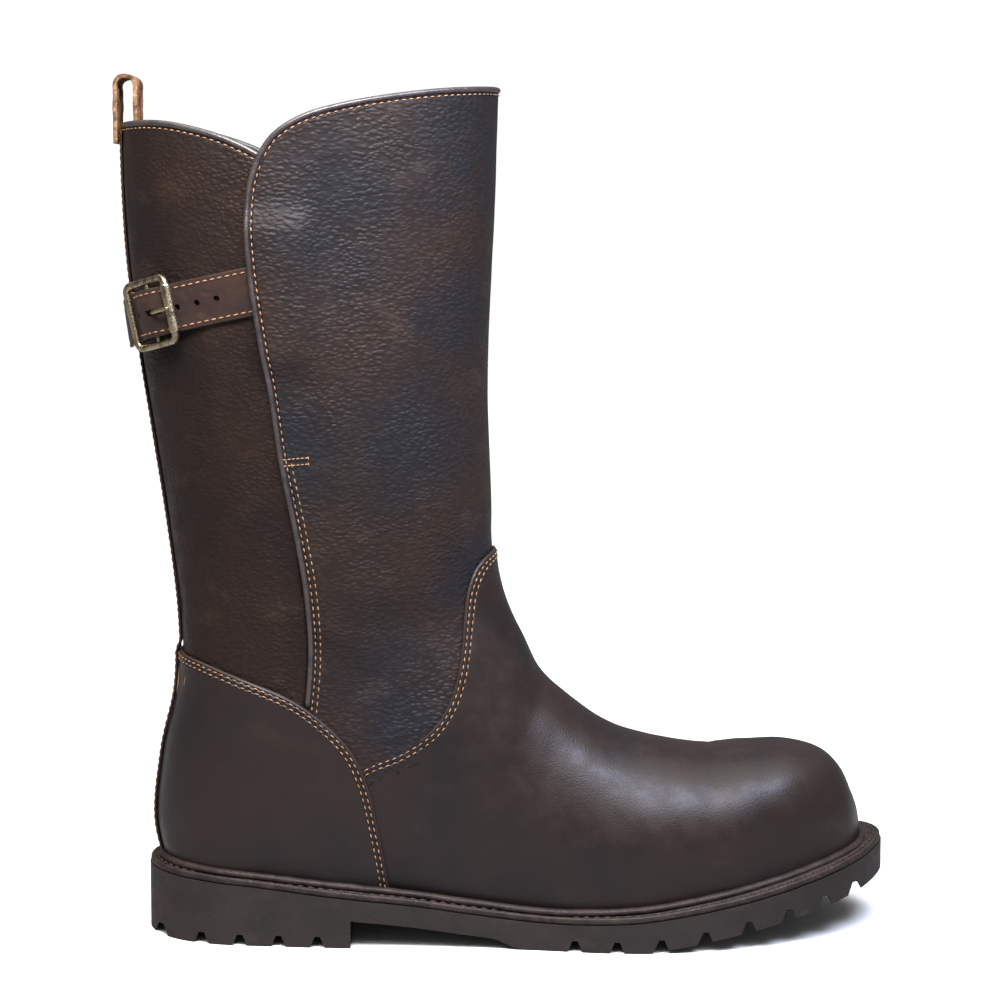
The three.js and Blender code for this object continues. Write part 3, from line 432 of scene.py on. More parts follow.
def panelLift(p):
    rear = p[:, 0] - np.interp(-p[:, 2], -panelEdge[49:, 1], panelEdge[49:, 0])
    lap = (1 - smooth(layers["lap"] + 14, layers["lap"] + 26, rear)) * liftFade(p)
    strap = (1 - smooth(18, 30, p[:, 0] - 4)) * (1 - smooth(23, 38, np.abs(p[:, 2] - 267.8))) * (p[:, 1] < 0)
    return lapLift * lap + 2.8 * strap


def vampLift(p):
    lap = (1 - smooth(layers["lap"] + 14, layers["lap"] + 28, np.abs(fromLine(vampEdge, p)))) * liftFade(p)
    toe = smooth(188, 208, p[:, 0]) * (layers["puff"] + layers["gap"])
    return np.maximum(lapLift * lap, toe)


def waves(p, size, seed):
    return np.array([noise.noise(Vector((x / size + seed, y / size, z / size))) for x, y, z in p])


def readPoints(bm):
    return np.array([v.co[:] for v in bm.verts])


def writePoints(bm, points):
    for v, p in zip(bm.verts, points):
        v.co = p


def trim(bm, keep):  # cuts a grid of station, angle along the line where keep() is zero
    co = readPoints(bm)
    value = keep(skin(co[:, 0], co[:, 1]))
    value = np.where(np.abs(value) < 1e-6, 1e-6, value)
    ends = np.array([[v.index for v in e.verts] for e in bm.edges])
    a, b = value[ends[:, 0]], value[ends[:, 1]]
    cut = a * b < 0
    ends, a, b = ends[cut], a[cut], b[cut]
    t = a / (a - b)
    first = t + co[ends[:, 0], 2] < 1 - t + co[ends[:, 1], 2]
    cost = np.where(first, t, 1 - t)
    order = np.argsort(-cost)
    who = np.where(first, ends[:, 0], ends[:, 1])[order]
    target = (co[ends[:, 0]] + (co[ends[:, 1]] - co[ends[:, 0]]) * t[:, None])[order]
    co[who, :2] = target[:, :2]
    co[who, 2] = 0.5
    value[who] = 0
    writePoints(bm, co)
    splits, drops = [], []
    for face in bm.faces:
        signs = [value[v.index] for v in face.verts]
        if min(signs) < 0:
            zeros = [v for v, s in zip(face.verts, signs) if s == 0]
            if max(signs) > 0 and len(zeros) == 2:
                splits.append((face, zeros))
            else:
                drops.append(face)
    for face, (p, q) in splits:
        other, _ = bmesh.utils.face_split(face, p, q)
        for part in (face, other):
            if min(value[v.index] for v in part.verts if v.index >= 0) < 0:
                drops.append(part)
    bmesh.ops.delete(bm, geom=drops, context="FACES")
    bm.verts.index_update()


def addObject(name, bm):
    data = bpy.data.meshes.new(name)
    bm.to_mesh(data)
    bm.free()
    made = bpy.data.objects.new(name, data)
    scene.collection.objects.link(made)
    return made


def addPiece(name, bm, material, body="boot", replaced=()):
    bmesh.ops.scale(bm, vec=(mm,) * 3, verts=bm.verts)
    piece = addObject(name, bm)
    piece.data.shade_smooth()
    piece.data.materials.append(finish(material))
    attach(piece, body)
    if replaced:
        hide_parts(*replaced)
    return piece


def patch(name, stations, angles, step, keeps, lift, material, replaced, thick, edge=None):
    fine = np.linspace(*stations, 400)
    front, back = throughRows(sectionRows, fine)[:, 0:2], throughRows(sectionRows, fine)[:, 2:4]
    hops = [np.linalg.norm(np.diff(line, axis=0), axis=1) for line in (front, back)]
    run = np.concatenate([[0], np.cumsum(0.45 * hops[0] + 0.55 * hops[1])])
    rows, columns = round(run[-1] / step), round((angles[1] - angles[0]) * 62 / step)
    bm = bmesh.new()
    bmesh.ops.create_grid(bm, x_segments=rows, y_segments=columns, size=0.5)
    at = readPoints(bm) + 0.5
    station = np.interp(at[:, 0] * run[-1], run, fine)
    angle = angles[0] + (angles[1] - angles[0]) * at[:, 1]
    writePoints(bm, np.stack([station, angle, 0 * angle], 1))
    bm.verts.index_update()
    for keep in keeps:
        trim(bm, keep)
    at = readPoints(bm)
    base, normal = skin(at[:, 0], at[:, 1]), skinNormal(at[:, 0], at[:, 1])
    if edge:
        layer = bm.verts.layers.float.new("edge")
        far = edge(base)
        for v, value in zip(bm.verts, far):
            v[layer] = value
    writePoints(bm, base + normal * lift(base)[:, None])
    bmesh.ops.remove_doubles(bm, verts=bm.verts, dist=0.01)
    bmesh.ops.recalc_face_normals(bm, faces=bm.faces)
    middle = max(bm.faces, key=lambda face: face.calc_area())
    heart = Vector((middle.calc_center_median().x, 0, middle.calc_center_median().z))
    if (middle.calc_center_median() - heart).dot(middle.normal) < 0:
        bmesh.ops.reverse_faces(bm, faces=bm.faces)
    piece = addPiece(name, bm, material, "boot", replaced)
    wall = piece.modifiers.new("wall", "SOLIDIFY")
    wall.thickness, wall.offset, wall.use_even_offset, wall.use_quality_normals = thick * mm, -1, False, True
    return piece


def softEdge(far):
    return -0.55 * (1 - smooth(0, 1.3, far))


def vampEdgeFar(p):
    return -fromLine(vampEdge, p)


def vampFace(p):
    x, y, z = p.T
    creases = waves(p * [1, 0.6, 1], 26, 3.1) * 0.7
    creases = creases + waves(p * [2.2, 0.7, 1.2], 15, 7.7) * 0.35 * smooth(205, 160, x) * smooth(40, 60, z)
    fold = smooth(60, 95, z) * smooth(175, 135, x) * 0.5
    fold = fold * np.sin((x * 0.62 - z * 0.78) / 5.2 + 1.2 * waves(p, 30, 1.3))
    toeStep = 0.35 * smooth(3, 0, np.abs(x - 196 + 0.12 * np.abs(y - 4))) * smooth(45, 70, z)
    seam = smooth(5, 26, vampEdgeFar(p)) * smooth(4, 18, fromLine(counterEdge, p))
    return vampLift(p) + softEdge(vampEdgeFar(p)) + (creases * 0.4 + fold * 0.35) * seam - toeStep


def counterFar(p):
    return -fromLine(counterEdge, p)


def counterFace(p):
    return layers["gap"] + layers["panel"] + softEdge(counterFar(p)) + 0.25 * waves(p, 24, 5.2)


def panelFar(p):
    return fromLine(panelEdge, p)


def panelFace(p):
    soft = waves(p * [1, 1, 0.6], 34, 9.4) * 1.0 + waves(p, 15, 2.2) * 0.35
    ankle = smooth(205, 150, p[:, 2]) * 0.45 * np.sin(p[:, 2] / 5.6 + 2.2 * waves(p, 34, 6.1))
    far = panelFar(p)
    return panelLift(p) + (soft * 0.5 + ankle * 0.6) * smooth(0, 14, far) * smooth(0, 10, fromLine(vampEdge, p))


def backFar(p):
    return -fromLine(backTop, p)


def backFace(p):
    soft = waves(p * [1, 1, 0.6], 30, 12.9) * 0.9 + waves(p, 14, 4.4) * 0.3
    ankle = smooth(200, 150, p[:, 2]) * 0.4 * np.sin(p[:, 2] / 6.1 + 2.0 * waves(p, 30, 8.8))
    return np.minimum((soft * 0.45 + ankle * 0.5) * smooth(0, 12, backFar(p)), 0.12)


def makeLeathers():
    lap, gap, piping = layers["lap"], layers["gap"], layers["piping"]

    def lapAt(p):
        return -gap + (lap + gap) * smooth(54, 64, np.abs(fromLine(counterEdge, p)))

    patch("vampLeather", (0, 18.2), (-math.pi, math.pi), 1.9,
          [vampEdgeFar, lambda p: fromLine(counterEdge, p) + lap, onSole],
          vampFace, "smoothLeather", ["vamp"], layers["panel"], vampEdgeFar)
    patch("counterLeather", (8.5, 20), (0.9, 2 * math.pi - 0.9), 1.7,
          [counterFar, onSole], counterFace, "smoothLeather", ["heel_counter"], layers["panel"],
          counterFar)
    patch("frontPanelLeather", (11, 25.6), (-2.35, 2.35), 1.8,
          [lambda p: panelFar(p) - piping * 0.6, lambda p: fromLine(vampEdge, p) + lap,
              lambda p: fromLine(counterEdge, p) + lap],
          panelFace, "grainLeather", ["shaft_front_panel"], layers["panel"], panelFar)
    patch("backPanelLeather", (13.4, 25.2), (0.95, 2 * math.pi - 0.95), 1.8,
          [lambda p: backFar(p) - piping * 0.6, lambda p: lapAt(p) - panelFar(p),
              lambda p: fromLine(counterEdge, p) + lap],
          backFace, "backLeather", ["shaft_back_panel"], layers["panel"], backFar)
    print("leathers made")


def makeLinings():
    under = -layers["panel"] - layers["gap"]

    def inside(p):
        return np.full(len(p), under)

    patch("vampLiningLeather", (0.6, 18), (-math.pi, math.pi), 3.4,
          [lambda p: -fromLine(liningSeam, p) - 0.3, onSole], inside, "liningLeather",
          ["vamp_lining"], layers["lining"])
    patch("shaftLiningLeather", (9, 25.6), (-math.pi, math.pi), 3.0,
          [lambda p: fromLine(liningSeam, p), onSole,
           lambda p: np.where(p[:, 0] < 9, backFar(p), fromLine(panelEdge, p)) - layers["piping"] - 0.6],
          inside, "liningLeather", ["shaft_lining"], layers["lining"])
    print("linings made")


# Lines on the skin
def solve(field, known, low, high, unknownStation):
    low, high = np.full(len(known), float(low)), np.full(len(known), float(high))
    at = (lambda m: skin(m, known)) if unknownStation else (lambda m: skin(known, m))
    start = field(at(low)) > 0
    for _ in range(40):
        middle = (low + high) / 2
        same = (field(at(middle)) > 0) == start
        low, high = np.where(same, middle, low), np.where(same, high, middle)
    return np.stack((low, known) if unknownStation else (known, low), 1)


def evenly(line, lift, pitch):  # even steps along a line of station, angle
    points = skin(*line.T)
    run = runAlong(points)
    steps = np.linspace(0, run[-1], max(2, round(run[-1] / pitch)))
    station, angle = atSteps(steps, run, line).T
    points, normals = skin(station, angle), skinNormal(station, angle)
    return points + normals * lift(points)[:, None], normals


def panelLine(inset, side=1):
    def field(p):
        return fromLine(panelEdge, p) - inset

    stations = np.linspace(14.6, 24.6, 260)
    rear = solve(field, stations, 0.5 * side, 2.7 * side, False)
    spots = skin(*rear.T)
    rear = rear[(spots[:, 2] < 318) & (fromLine(counterEdge, spots) > 0.8)]
    start = abs(rear[-1, 1]) - 0.03
    top = solve(field, np.linspace(start, 0, 90) * side, 22.6, 25.9, True)
    top = top[skin(*top.T)[:, 2] > skin(*rear[-1:].T)[0, 2] + 0.5]
    return rear, top


def counterLine(inset, side=1):
    def field(p):
        return fromLine(counterEdge, p) + inset

    line = solve(field, np.linspace(11.6, 18.7, 200), 0.8 * side, 3.13 * side, False)
    return line[onSole(skin(*line.T), 3) > 0]


def vampLine(inset):
    def field(p):
        return fromLine(vampEdge, p) + inset

    line = solve(field, np.linspace(2.2, -2.2, 400), 9.5, 19.5, True)
    return line[fromLine(counterEdge, skin(*line.T)) > 0.9]


def backLine(inset, start, high, ahead):  # round the back under the top edge, up to the front panel's edge
    def field(p):
        return fromLine(backTop, p) + inset

    line = solve(field, np.linspace(start, 2 * math.pi - start, 300), 22, high, True)
    return line[fromLine(panelEdge, skin(*line.T)) < ahead]


tackLook = {"pitch": 1.9, "length": 1.6, "runs": [((17.5, 201.2), (26.2, 202.0)), ((17.6, 198.6), (26.2, 199.4)),
    ((26.9, 201.8), (27.0, 199.4))]}
threadLook = {"pitch": 3.0, "length": 2.05, "radius": 0.3, "out": 0.12,
              "inset": 2.9, "secondInset": 4.9, "secondBelow": 199}


def placeAt(x, y, z, point):
    place = Matrix((Vector(x), Vector(y), Vector(z))).transposed().to_4x4()
    place.translation = Vector(point)
    return place


def addStitches(bm, points, normals, length, radius):
    along = unit(np.gradient(points, axis=0))
    for p, t, n in zip(points, along, normals):
        side = np.cross(n, t)
        side /= np.linalg.norm(side)
        lean = t + side * 0.05
        place = placeAt(lean * length / 2, side * radius, n * radius, p)
        bmesh.ops.create_uvsphere(bm, u_segments=6, v_segments=5, radius=1, matrix=place)


def onSide(xz, lift, out):  # points of the outer side given by x and z
    placed = [(stationAt(z, angleAt(x, z)), angleAt(x, z)) for x, z in xz]
    station, angle = np.array(placed).T
    points, normals = skin(station, angle), skinNormal(station, angle)
    return points + normals * (lift(points) + out)[:, None], normals


def stitchPiece(name, face, lines):
    bm = bmesh.new()
    for line in lines:
        points, normals = evenly(line, lambda p: face(p) + threadLook["out"], threadLook["pitch"])
        addStitches(bm, points, normals, threadLook["length"], threadLook["radius"])
    addPiece(name, bm, "thread", "boot")


def makeStitches():
    lines, inset = [], threadLook["inset"]
    for side in (1, -1):
        rear, top = panelLine(inset, side)
        second = panelLine(threadLook["secondInset"], side)[0]
        lines += [rear, top, second[skin(*second.T)[:, 2] < threadLook["secondBelow"]]]
    stitchPiece("panelStitches", panelFace, lines)
    double = grooveRows["double"]
    stitchPiece("counterStitches", counterFace,
                [counterLine(inset, side) for side in (1, -1) for inset in double])
    stitchPiece("vampStitches", vampFace, [vampLine(inset) for inset in double])
    stitchPiece("toplineStitches", backFace, [backLine(inset, 1.72, 25.2, -1)])
    tacks = bmesh.new()
    for a, b in tackLook["runs"]:
        count = max(2, round(math.dist(a, b) / tackLook["pitch"]) + 1)
        xz = np.linspace(a, b, count)
        points, normals = onSide(xz, panelFace, threadLook["out"])
        addStitches(tacks, points, normals, tackLook["length"], threadLook["radius"])
    addPiece("tackStitches", tacks, "thread", "boot")
    print("stitches made")


# Bands: a profile of (across, out) swept along points with out and across directions
def sweep(name, points, outs, acrosses, profile, material, body="boot", slot=None, replaced=(), closed=False,
        relief=None):
    n, m = len(points), len(profile[0]) if np.ndim(profile) == 3 else len(profile)
    profile = np.broadcast_to(profile, (n, m, 2))
    bm = bmesh.new()
    bmesh.ops.create_grid(bm, x_segments=n if closed else n - 1, y_segments=m, size=0.5)
    at = readPoints(bm) + 0.5
    i = np.rint(at[:, 0] * (n if closed else n - 1)).astype(int) % n
    j = np.rint(at[:, 1] * m).astype(int) % m
    placed = points[i] + acrosses[i] * profile[i, j, :1] + outs[i] * profile[i, j, 1:]
    if relief is not None:
        placed = relief(placed, i, j)
    writePoints(bm, placed)
    bmesh.ops.remove_doubles(bm, verts=bm.verts, dist=1e-4)
    if not closed:
        bmesh.ops.holes_fill(bm, edges=[e for e in bm.edges if e.is_boundary], sides=0)
    bmesh.ops.recalc_face_normals(bm, faces=bm.faces)
    return addPiece(name, bm, material, body, replaced)


def stripProfile(width, thick, corner=0.35, across=8):
    right = [(width / 2 - corner * (1 - math.cos(a)), thick / 2 - corner * (1 - math.sin(a)))
             for a in (0, 0.5, 1.07, math.pi / 2)]
    top = [(width / 2 - corner - (width - 2 * corner) * k / across, thick / 2) for k in range(1, across)]
    left = [(-x, z) for x, z in reversed(right)]
    half = right + top + left
    return np.array(half + [(-x, -z) for x, z in half])


def tubeProfile(wide, high, sides=10):
    return np.array([(wide * math.cos(a), high * math.sin(a)) for a in circle(sides)])


def frames(points, normals):
    along = unit(np.gradient(points, axis=0))
    return points, normals, unit(np.cross(along, normals))


def levelAcross(points, normals):  # across a band that runs round the shaft, turned up
    across = frames(points, normals)[2]
    return across * np.sign(across[:, 2:3])


def makePiping():
    def lift(p):
        return panelLift(p) - 0.35

    outerRear, outerTop = panelLine(0.9, 1)
    innerRear, innerTop = panelLine(0.9, -1)
    line = np.concatenate([outerRear, outerTop, innerTop[::-1], innerRear[::-1]])
    points, normals = evenly(line, lift, 2.0)
    for _ in range(4):
        points[1:-1] = points[1:-1] * 0.5 + (points[:-2] + points[2:]) * 0.25
    sweep("frontPiping", *frames(points, normals), tubeProfile(1.15, 1.3), "pipingLeather", slot="piping",
        replaced=["piping_front"])
    points, normals = evenly(backLine(0.9, 1.55, 25.4, 1.5), lambda p: 0 * p[:, 0] - 0.4, 2.0)
    sweep("backPiping", *frames(points, normals), tubeProfile(1.25, 1.2), "pipingLeather", slot="piping",
        replaced=["piping_back"])
    print("piping made")


# Sole: outline in plan, then the rubber, welt and storm bead
outlinePlan = [
    [-43.4, 0], [-40.6, -13], [-31, -25.5], [-14, -34], [12, -38], [43, -41], [80, -42], [115, -44.5], [145, -49.5],
    [170, -51],
    [195, -48.5], [220, -42], [242, -31], [257, -17], [265.5, -2], [267.6, 9], [264, 24], [252, 38.5], [232, 50],
    [205, 56.5],
    [175, 58.5], [145, 56], [115, 47.5], [85, 38.5], [60, 35.5], [36, 35.5], [12, 36], [-13, 33], [-31, 24.5],
    [-40.6, 12.5],
]
soleLook = {"steps": 260, "breast": 42.5, "waist": 8.5, "notch": (6.2, 2.2, 4.6), "reach": 14, "weltThick": 3,
    "weltInset": 0.4,
            "notches": [-37, -19, -3, 13, 29, 134, 151, 169, 187, 205, 222, 238, 252]}


def closedCurve(points, count):  # centripetal, in even steps
    points = np.array(points, float)
    n, fine = len(points), []
    for k in range(n):
        p = [points[(k + i) % n] for i in (-1, 0, 1, 2)]
        d = [np.linalg.norm(p[i + 1] - p[i]) ** 0.5 for i in range(3)]
        v = ((p[1] - p[0]) / d[0] - (p[2] - p[0]) / (d[0] + d[1]) + (p[2] - p[1]) / d[1]) * d[1]
        w = ((p[2] - p[1]) / d[1] - (p[3] - p[1]) / (d[1] + d[2]) + (p[3] - p[2]) / d[2]) * d[1]
        for t in np.linspace(0, 1, 40, endpoint=False):
            fine.append((2 * p[1] - 2 * p[2] + v + w) * t**3 + (3 * p[2] - 3 * p[1] - 2 * v - w) * t * t + v * t
                + p[1])
    fine = np.array(fine + [fine[0]])
    run = runAlong(fine)
    steps = np.linspace(0, run[-1], count, endpoint=False)
    return atSteps(steps, run, fine)


soleLoop = closedCurve(outlinePlan, soleLook["steps"])


def loopOut(loop):
    along = unit(np.roll(loop, -1, 0) - np.roll(loop, 1, 0))
    return np.stack([along[:, 1], -along[:, 0]], 1)


def box(bm, low, high, taper=0.0):
    made = bmesh.ops.create_cube(bm, size=1)["verts"]
    for v in made:
        share = [c + 0.5 for c in v.co]
        v.co = [low[k] + (high[k] - low[k]) * share[k] for k in range(3)]
        if share[2] > 0.5:
            v.co.x += taper * (1 if share[0] < 0.5 else -1)
    return made


def carve(piece, cutter):
    bmesh.ops.recalc_face_normals(cutter, faces=cutter.faces)
    bmesh.ops.scale(cutter, vec=(mm,) * 3, verts=cutter.verts)
    tool = addObject("cutter", cutter)
    cut = piece.modifiers.new("cut", "BOOLEAN")
    cut.operation, cut.solver, cut.object, cut.use_self = "DIFFERENCE", "EXACT", tool, True
    made = bpy.data.meshes.new_from_object(piece.evaluated_get(bpy.context.evaluated_depsgraph_get()))
    piece.modifiers.clear()
    piece.data = made
    bpy.data.objects.remove(tool)


def treadHeight(x):  # underside: flat heel, waist behind the ball, then the rising forepart
    x = np.atleast_1d(x).astype(float)
    waist = soleHeight(x) - soleLook["waist"]
    blend = smooth(100, 114, x)
    fore = np.maximum(soleHeight(x, 2), 0)
    return np.where(x < soleLook["breast"], 0, waist * (1 - blend) + fore * blend)


def makeOutsole():
    breast = soleLook["breast"]
    bm = bmesh.new()
    ring = bmesh.ops.create_circle(bm, cap_ends=True, segments=soleLook["steps"], radius=1)["verts"]
    for v, p in zip(ring, soleLoop):
        v.co = (p[0], p[1], 0)
    grown = bmesh.ops.extrude_face_region(bm, geom=bm.faces[:])["geom"]
    top = [g for g in grown if isinstance(g, bmesh.types.BMVert)]
    bmesh.ops.translate(bm, verts=top, vec=(0, 0, 60))
    bmesh.ops.recalc_face_normals(bm, faces=bm.faces)
    piece = addPiece("outsoleRubber", bm, "soleRubber", "boot", ["outsole"])
    # everything above the top edge and below the tread goes
    xs = np.concatenate([np.arange(-60, breast, 4), [breast - 0.01, breast + 0.01], np.arange(46, 290, 3)])
    for side in ("top", "under"):
        cutter = bmesh.new()
        bmesh.ops.create_grid(cutter, x_segments=len(xs) - 1, y_segments=1, size=0.5)
        for v in cutter.verts:
            x = xs[int(round((v.co.x + 0.5) * (len(xs) - 1)))]
            height = soleHeight(x)[0] if side == "top" else treadHeight(x)[0] - (1 if x < breast else 0)
            v.co = (x, v.co.y * 200, height)
        grown = bmesh.ops.extrude_face_region(cutter, geom=cutter.faces[:])["geom"]
        for v in (g for g in grown if isinstance(g, bmesh.types.BMVert)):
            v.co.z = 90 if side == "top" else -30
        carve(piece, cutter)
    wide, narrow, deep = soleLook["notch"]
    cutter = bmesh.new()
    for x in soleLook["notches"]:
        foot = treadHeight(x)[0]
        for sign in (-1, 1):
            near = soleLoop[soleLoop[:, 1] * sign > 0]
            edge = near[np.argmin(np.abs(near[:, 0] - x)), 1]
            ys = sorted((edge + 6 * sign, edge - soleLook["reach"] * sign))
            taper = (wide - narrow) / 2
            box(cutter, (x - wide / 2 - taper, ys[0], foot - deep), (x + wide / 2 + taper, ys[1], foot + deep),
                2 * taper)
    carve(piece, cutter)
    cutter = bmesh.new()
    for k, x in enumerate(soleLook["notches"]):
        foot = treadHeight(x)[0]
        box(cutter, (x - 1.6, -12 + 4 * (k % 2), foot - 3), (x + 1.6, 14 + 4 * (k % 2), foot + 3), 0.6)
    carve(piece, cutter)
    smoothByAngle(piece, 35)
    print("outsole made")


def smoothByAngle(piece, degrees):
    bm = bmesh.new()
    bm.from_mesh(piece.data)
    bmesh.ops.remove_doubles(bm, verts=bm.verts, dist=2e-6)
    for e in bm.edges:
        e.smooth = e.is_manifold and e.calc_face_angle(0) < math.radians(degrees)
    for face in bm.faces:
        face.smooth = True
    bm.to_mesh(piece.data)
    bm.free()


def makeWelt():
    loop, out = soleLoop, loopOut(soleLoop)
    n = len(loop)
    base = soleHeight(loop[:, 0])
    flat = np.column_stack([loop, base])
    outs = np.tile([0.0, 0, 1], (n, 1))
    acrosses = np.column_stack([out, 0 * base])
    inner = -soleLook["weltInset"]
    # across is outward from the sole's edge, out is up: a lip, a stitched groove, then the storm bead
    profile = np.array([
        (inner, 0.45), (inner, 1.1), (inner - 0.1, 2.3), (inner - 0.5, 2.85), (inner - 1.3, 3.0), (inner - 2.0, 2.7),
        (inner - 2.5, 2.3), (inner - 3.1, 2.3), (inner - 3.5, 2.8), (inner - 12, 2.9), (inner - 12, 0.35),
        (inner - 0.4, 0.3),
    ])

    def worn(placed, i, j):
        ripple = waves(placed * [1, 1, 0.2], 9, 3.3) * 0.22
        return placed + acrosses[i] * (ripple * (j < 8))[:, None]

    sweep("weltStrip", flat, outs, acrosses, profile, "weltLeather", slot="welt_leather", replaced=["welt"],
        closed=True, relief=worn)
    # storm bead follows the foot of the upper
    seat = soleLook["weltThick"] + 1.0
    foot = np.array([footPoint(p, o, seat) for p, o in zip(flat, out)])
    for _ in range(3):
        foot = foot * 0.5 + (np.roll(foot, 1, 0) + np.roll(foot, -1, 0)) * 0.25
    foot[:, 2] = soleHeight(foot[:, 0]) + seat
    beadAcrosses = np.column_stack([loopOut(foot[:, :2]), 0 * base])
    bead = np.array([(1.9 * math.cos(a) - 0.4, 1.55 * math.sin(a)) for a in circle(12)])
    sweep("stormBead", foot, outs, beadAcrosses, bead, "weltLeather", slot="welt_leather", closed=True,
          relief=lambda placed, i, j: placed + beadAcrosses[i] * (waves(placed, 7, 8.1) * 0.2)[:, None])
    # stitches in the groove
    bm = bmesh.new()
    groove = flat + acrosses * (inner - 2.8) + outs * 2.55
    groove = np.vstack([groove, groove[:1]])
    run = runAlong(groove)
    points = atSteps(np.linspace(0, run[-1], round(run[-1] / 4.2), endpoint=False), run, groove)
    addStitches(bm, points, np.tile([0.0, 0, 1], (len(points), 1)), 3.3, 0.5)
    addPiece("weltStitches", bm, "darkThread", "boot")
    print("welt made")


footStations = np.repeat(np.linspace(0.2, 19, 420)[:, None], 360, 1).ravel()
footAngles = np.tile(circle(360), 420)
footCloud = skin(footStations, footAngles)
footCloud = footCloud + skinNormal(footStations, footAngles) * 1.9
footBand = footCloud[np.abs(footCloud[:, 2] - soleHeight(footCloud[:, 0]) - 4) < 1.2]


def footPoint(p, out, seat):  # where the upper meets the welt, looking inward from the sole's edge
    flat = footBand[:, :2] - p[:2]
    inward = -(flat @ out)
    aside = np.abs(flat @ np.array([-out[1], out[0]]))
    near = (aside < 2.2) & (inward < 30) & (inward > -3)
    depth = inward[near].min() if near.any() else 4.0
    spot = p[:2] - out * (depth - 1.1)
    return np.array([spot[0], spot[1], soleHeight(spot[0])[0] + seat])


# Strap and buckle
strapLook = {"width": 19.5, "thick": 1.6, "slope": 0.21, "seat": (-33.5, 259.6), "pitch": 8.4, "firstHole": 3.6,
    "hole": 1.3, "slot": 7.2, "holes": (-1, 1, 2, 3),
             "from": 7, "to": -47.2, "stitchInset": 1.9}
buckleLook = {"radius": 1.5, "bar": 1.0, "length": 27, "side": 1.7, "corner": 2.9, "bow": 1.2, "roller": 2.1,
              "prong": 0.9, "eye": 1.75, "tab": 0.9, "wrap": 1.65, "prongGap": 2.3}


def bisect(low, high, passed):
    for _ in range(40):
        middle = (low + high) / 2
        low, high = (low, middle) if passed(middle) else (middle, high)
    return low


def stationAt(z, angle):
    return bisect(15.0, 26.0, lambda station: skin(np.array([station]), np.array([angle]))[0, 2] >= z)


def angleAt(x, z):
    def behind(angle):
        return skin(np.array([stationAt(z, angle)]), np.array([angle]))[0, 0] <= x

    return bisect(0.01, math.pi - 0.01, behind)


def spotAt(z, angle):
    station = np.array([stationAt(z, angle)])
    return skin(station, np.array([angle]))[0], skinNormal(station, np.array([angle]))[0]


seatX, seatZ = strapLook["seat"]
seatAngle = angleAt(seatX, seatZ)
seatPoint, seatNormal = spotAt(seatZ, seatAngle)
seat = seatPoint + seatNormal * (layers["gap"] + buckleLook["tab"] + 0.2 + buckleLook["bar"] + 1.2)
level = np.array([-seatNormal[1], seatNormal[0], 0]) / math.hypot(seatNormal[0], seatNormal[1])
slope = math.atan(strapLook["slope"])
forward = level * math.cos(slope) + np.cross(seatNormal, level) * math.sin(slope)
upright = np.cross(seatNormal, forward)
halfLength = buckleLook["length"] / 2 - buckleLook["radius"]
strapLifts = np.array([
    [-60, 4], [-20, 4], [-15.5, 3.8], [-halfLength, 3.2], [-8.5, 4.3], [-6, 5.4], [-3, 6.6], [0, 6.9], [3, 6.6],
    [6, 5.1],
    [9, 3.35], [halfLength, 2.4], [16, 1.8], [22, 1.2], [30, 1.1], [120, 1.1],
])


def inBuckle(local):
    return seat + np.outer(local[:, 0], forward) + np.outer(local[:, 1], upright) + np.outer(local[:, 2], seatNormal)


def strapRoute(fromX, toX, steps):
    start, end = angleAt(fromX, seatZ), angleAt(toX, seatZ)
    angles = np.linspace(start, end, steps + 1)
    base = np.array([spotAt(seatZ, a)[0] for a in angles])
    run = runAlong(base)
    middle = np.interp(seatAngle, angles, run)
    points, normals, distances = [], [], middle - run
    for a, d in zip(angles, distances):
        point, normal = spotAt(seatZ + d * strapLook["slope"], a)
        lift = throughRows(strapLifts, np.interp([d], strapLifts[:, 0], np.arange(len(strapLifts))))[0, 1]
        points.append(point + normal * lift)
        normals.append(normal)
    return np.array(points), np.array(normals), distances


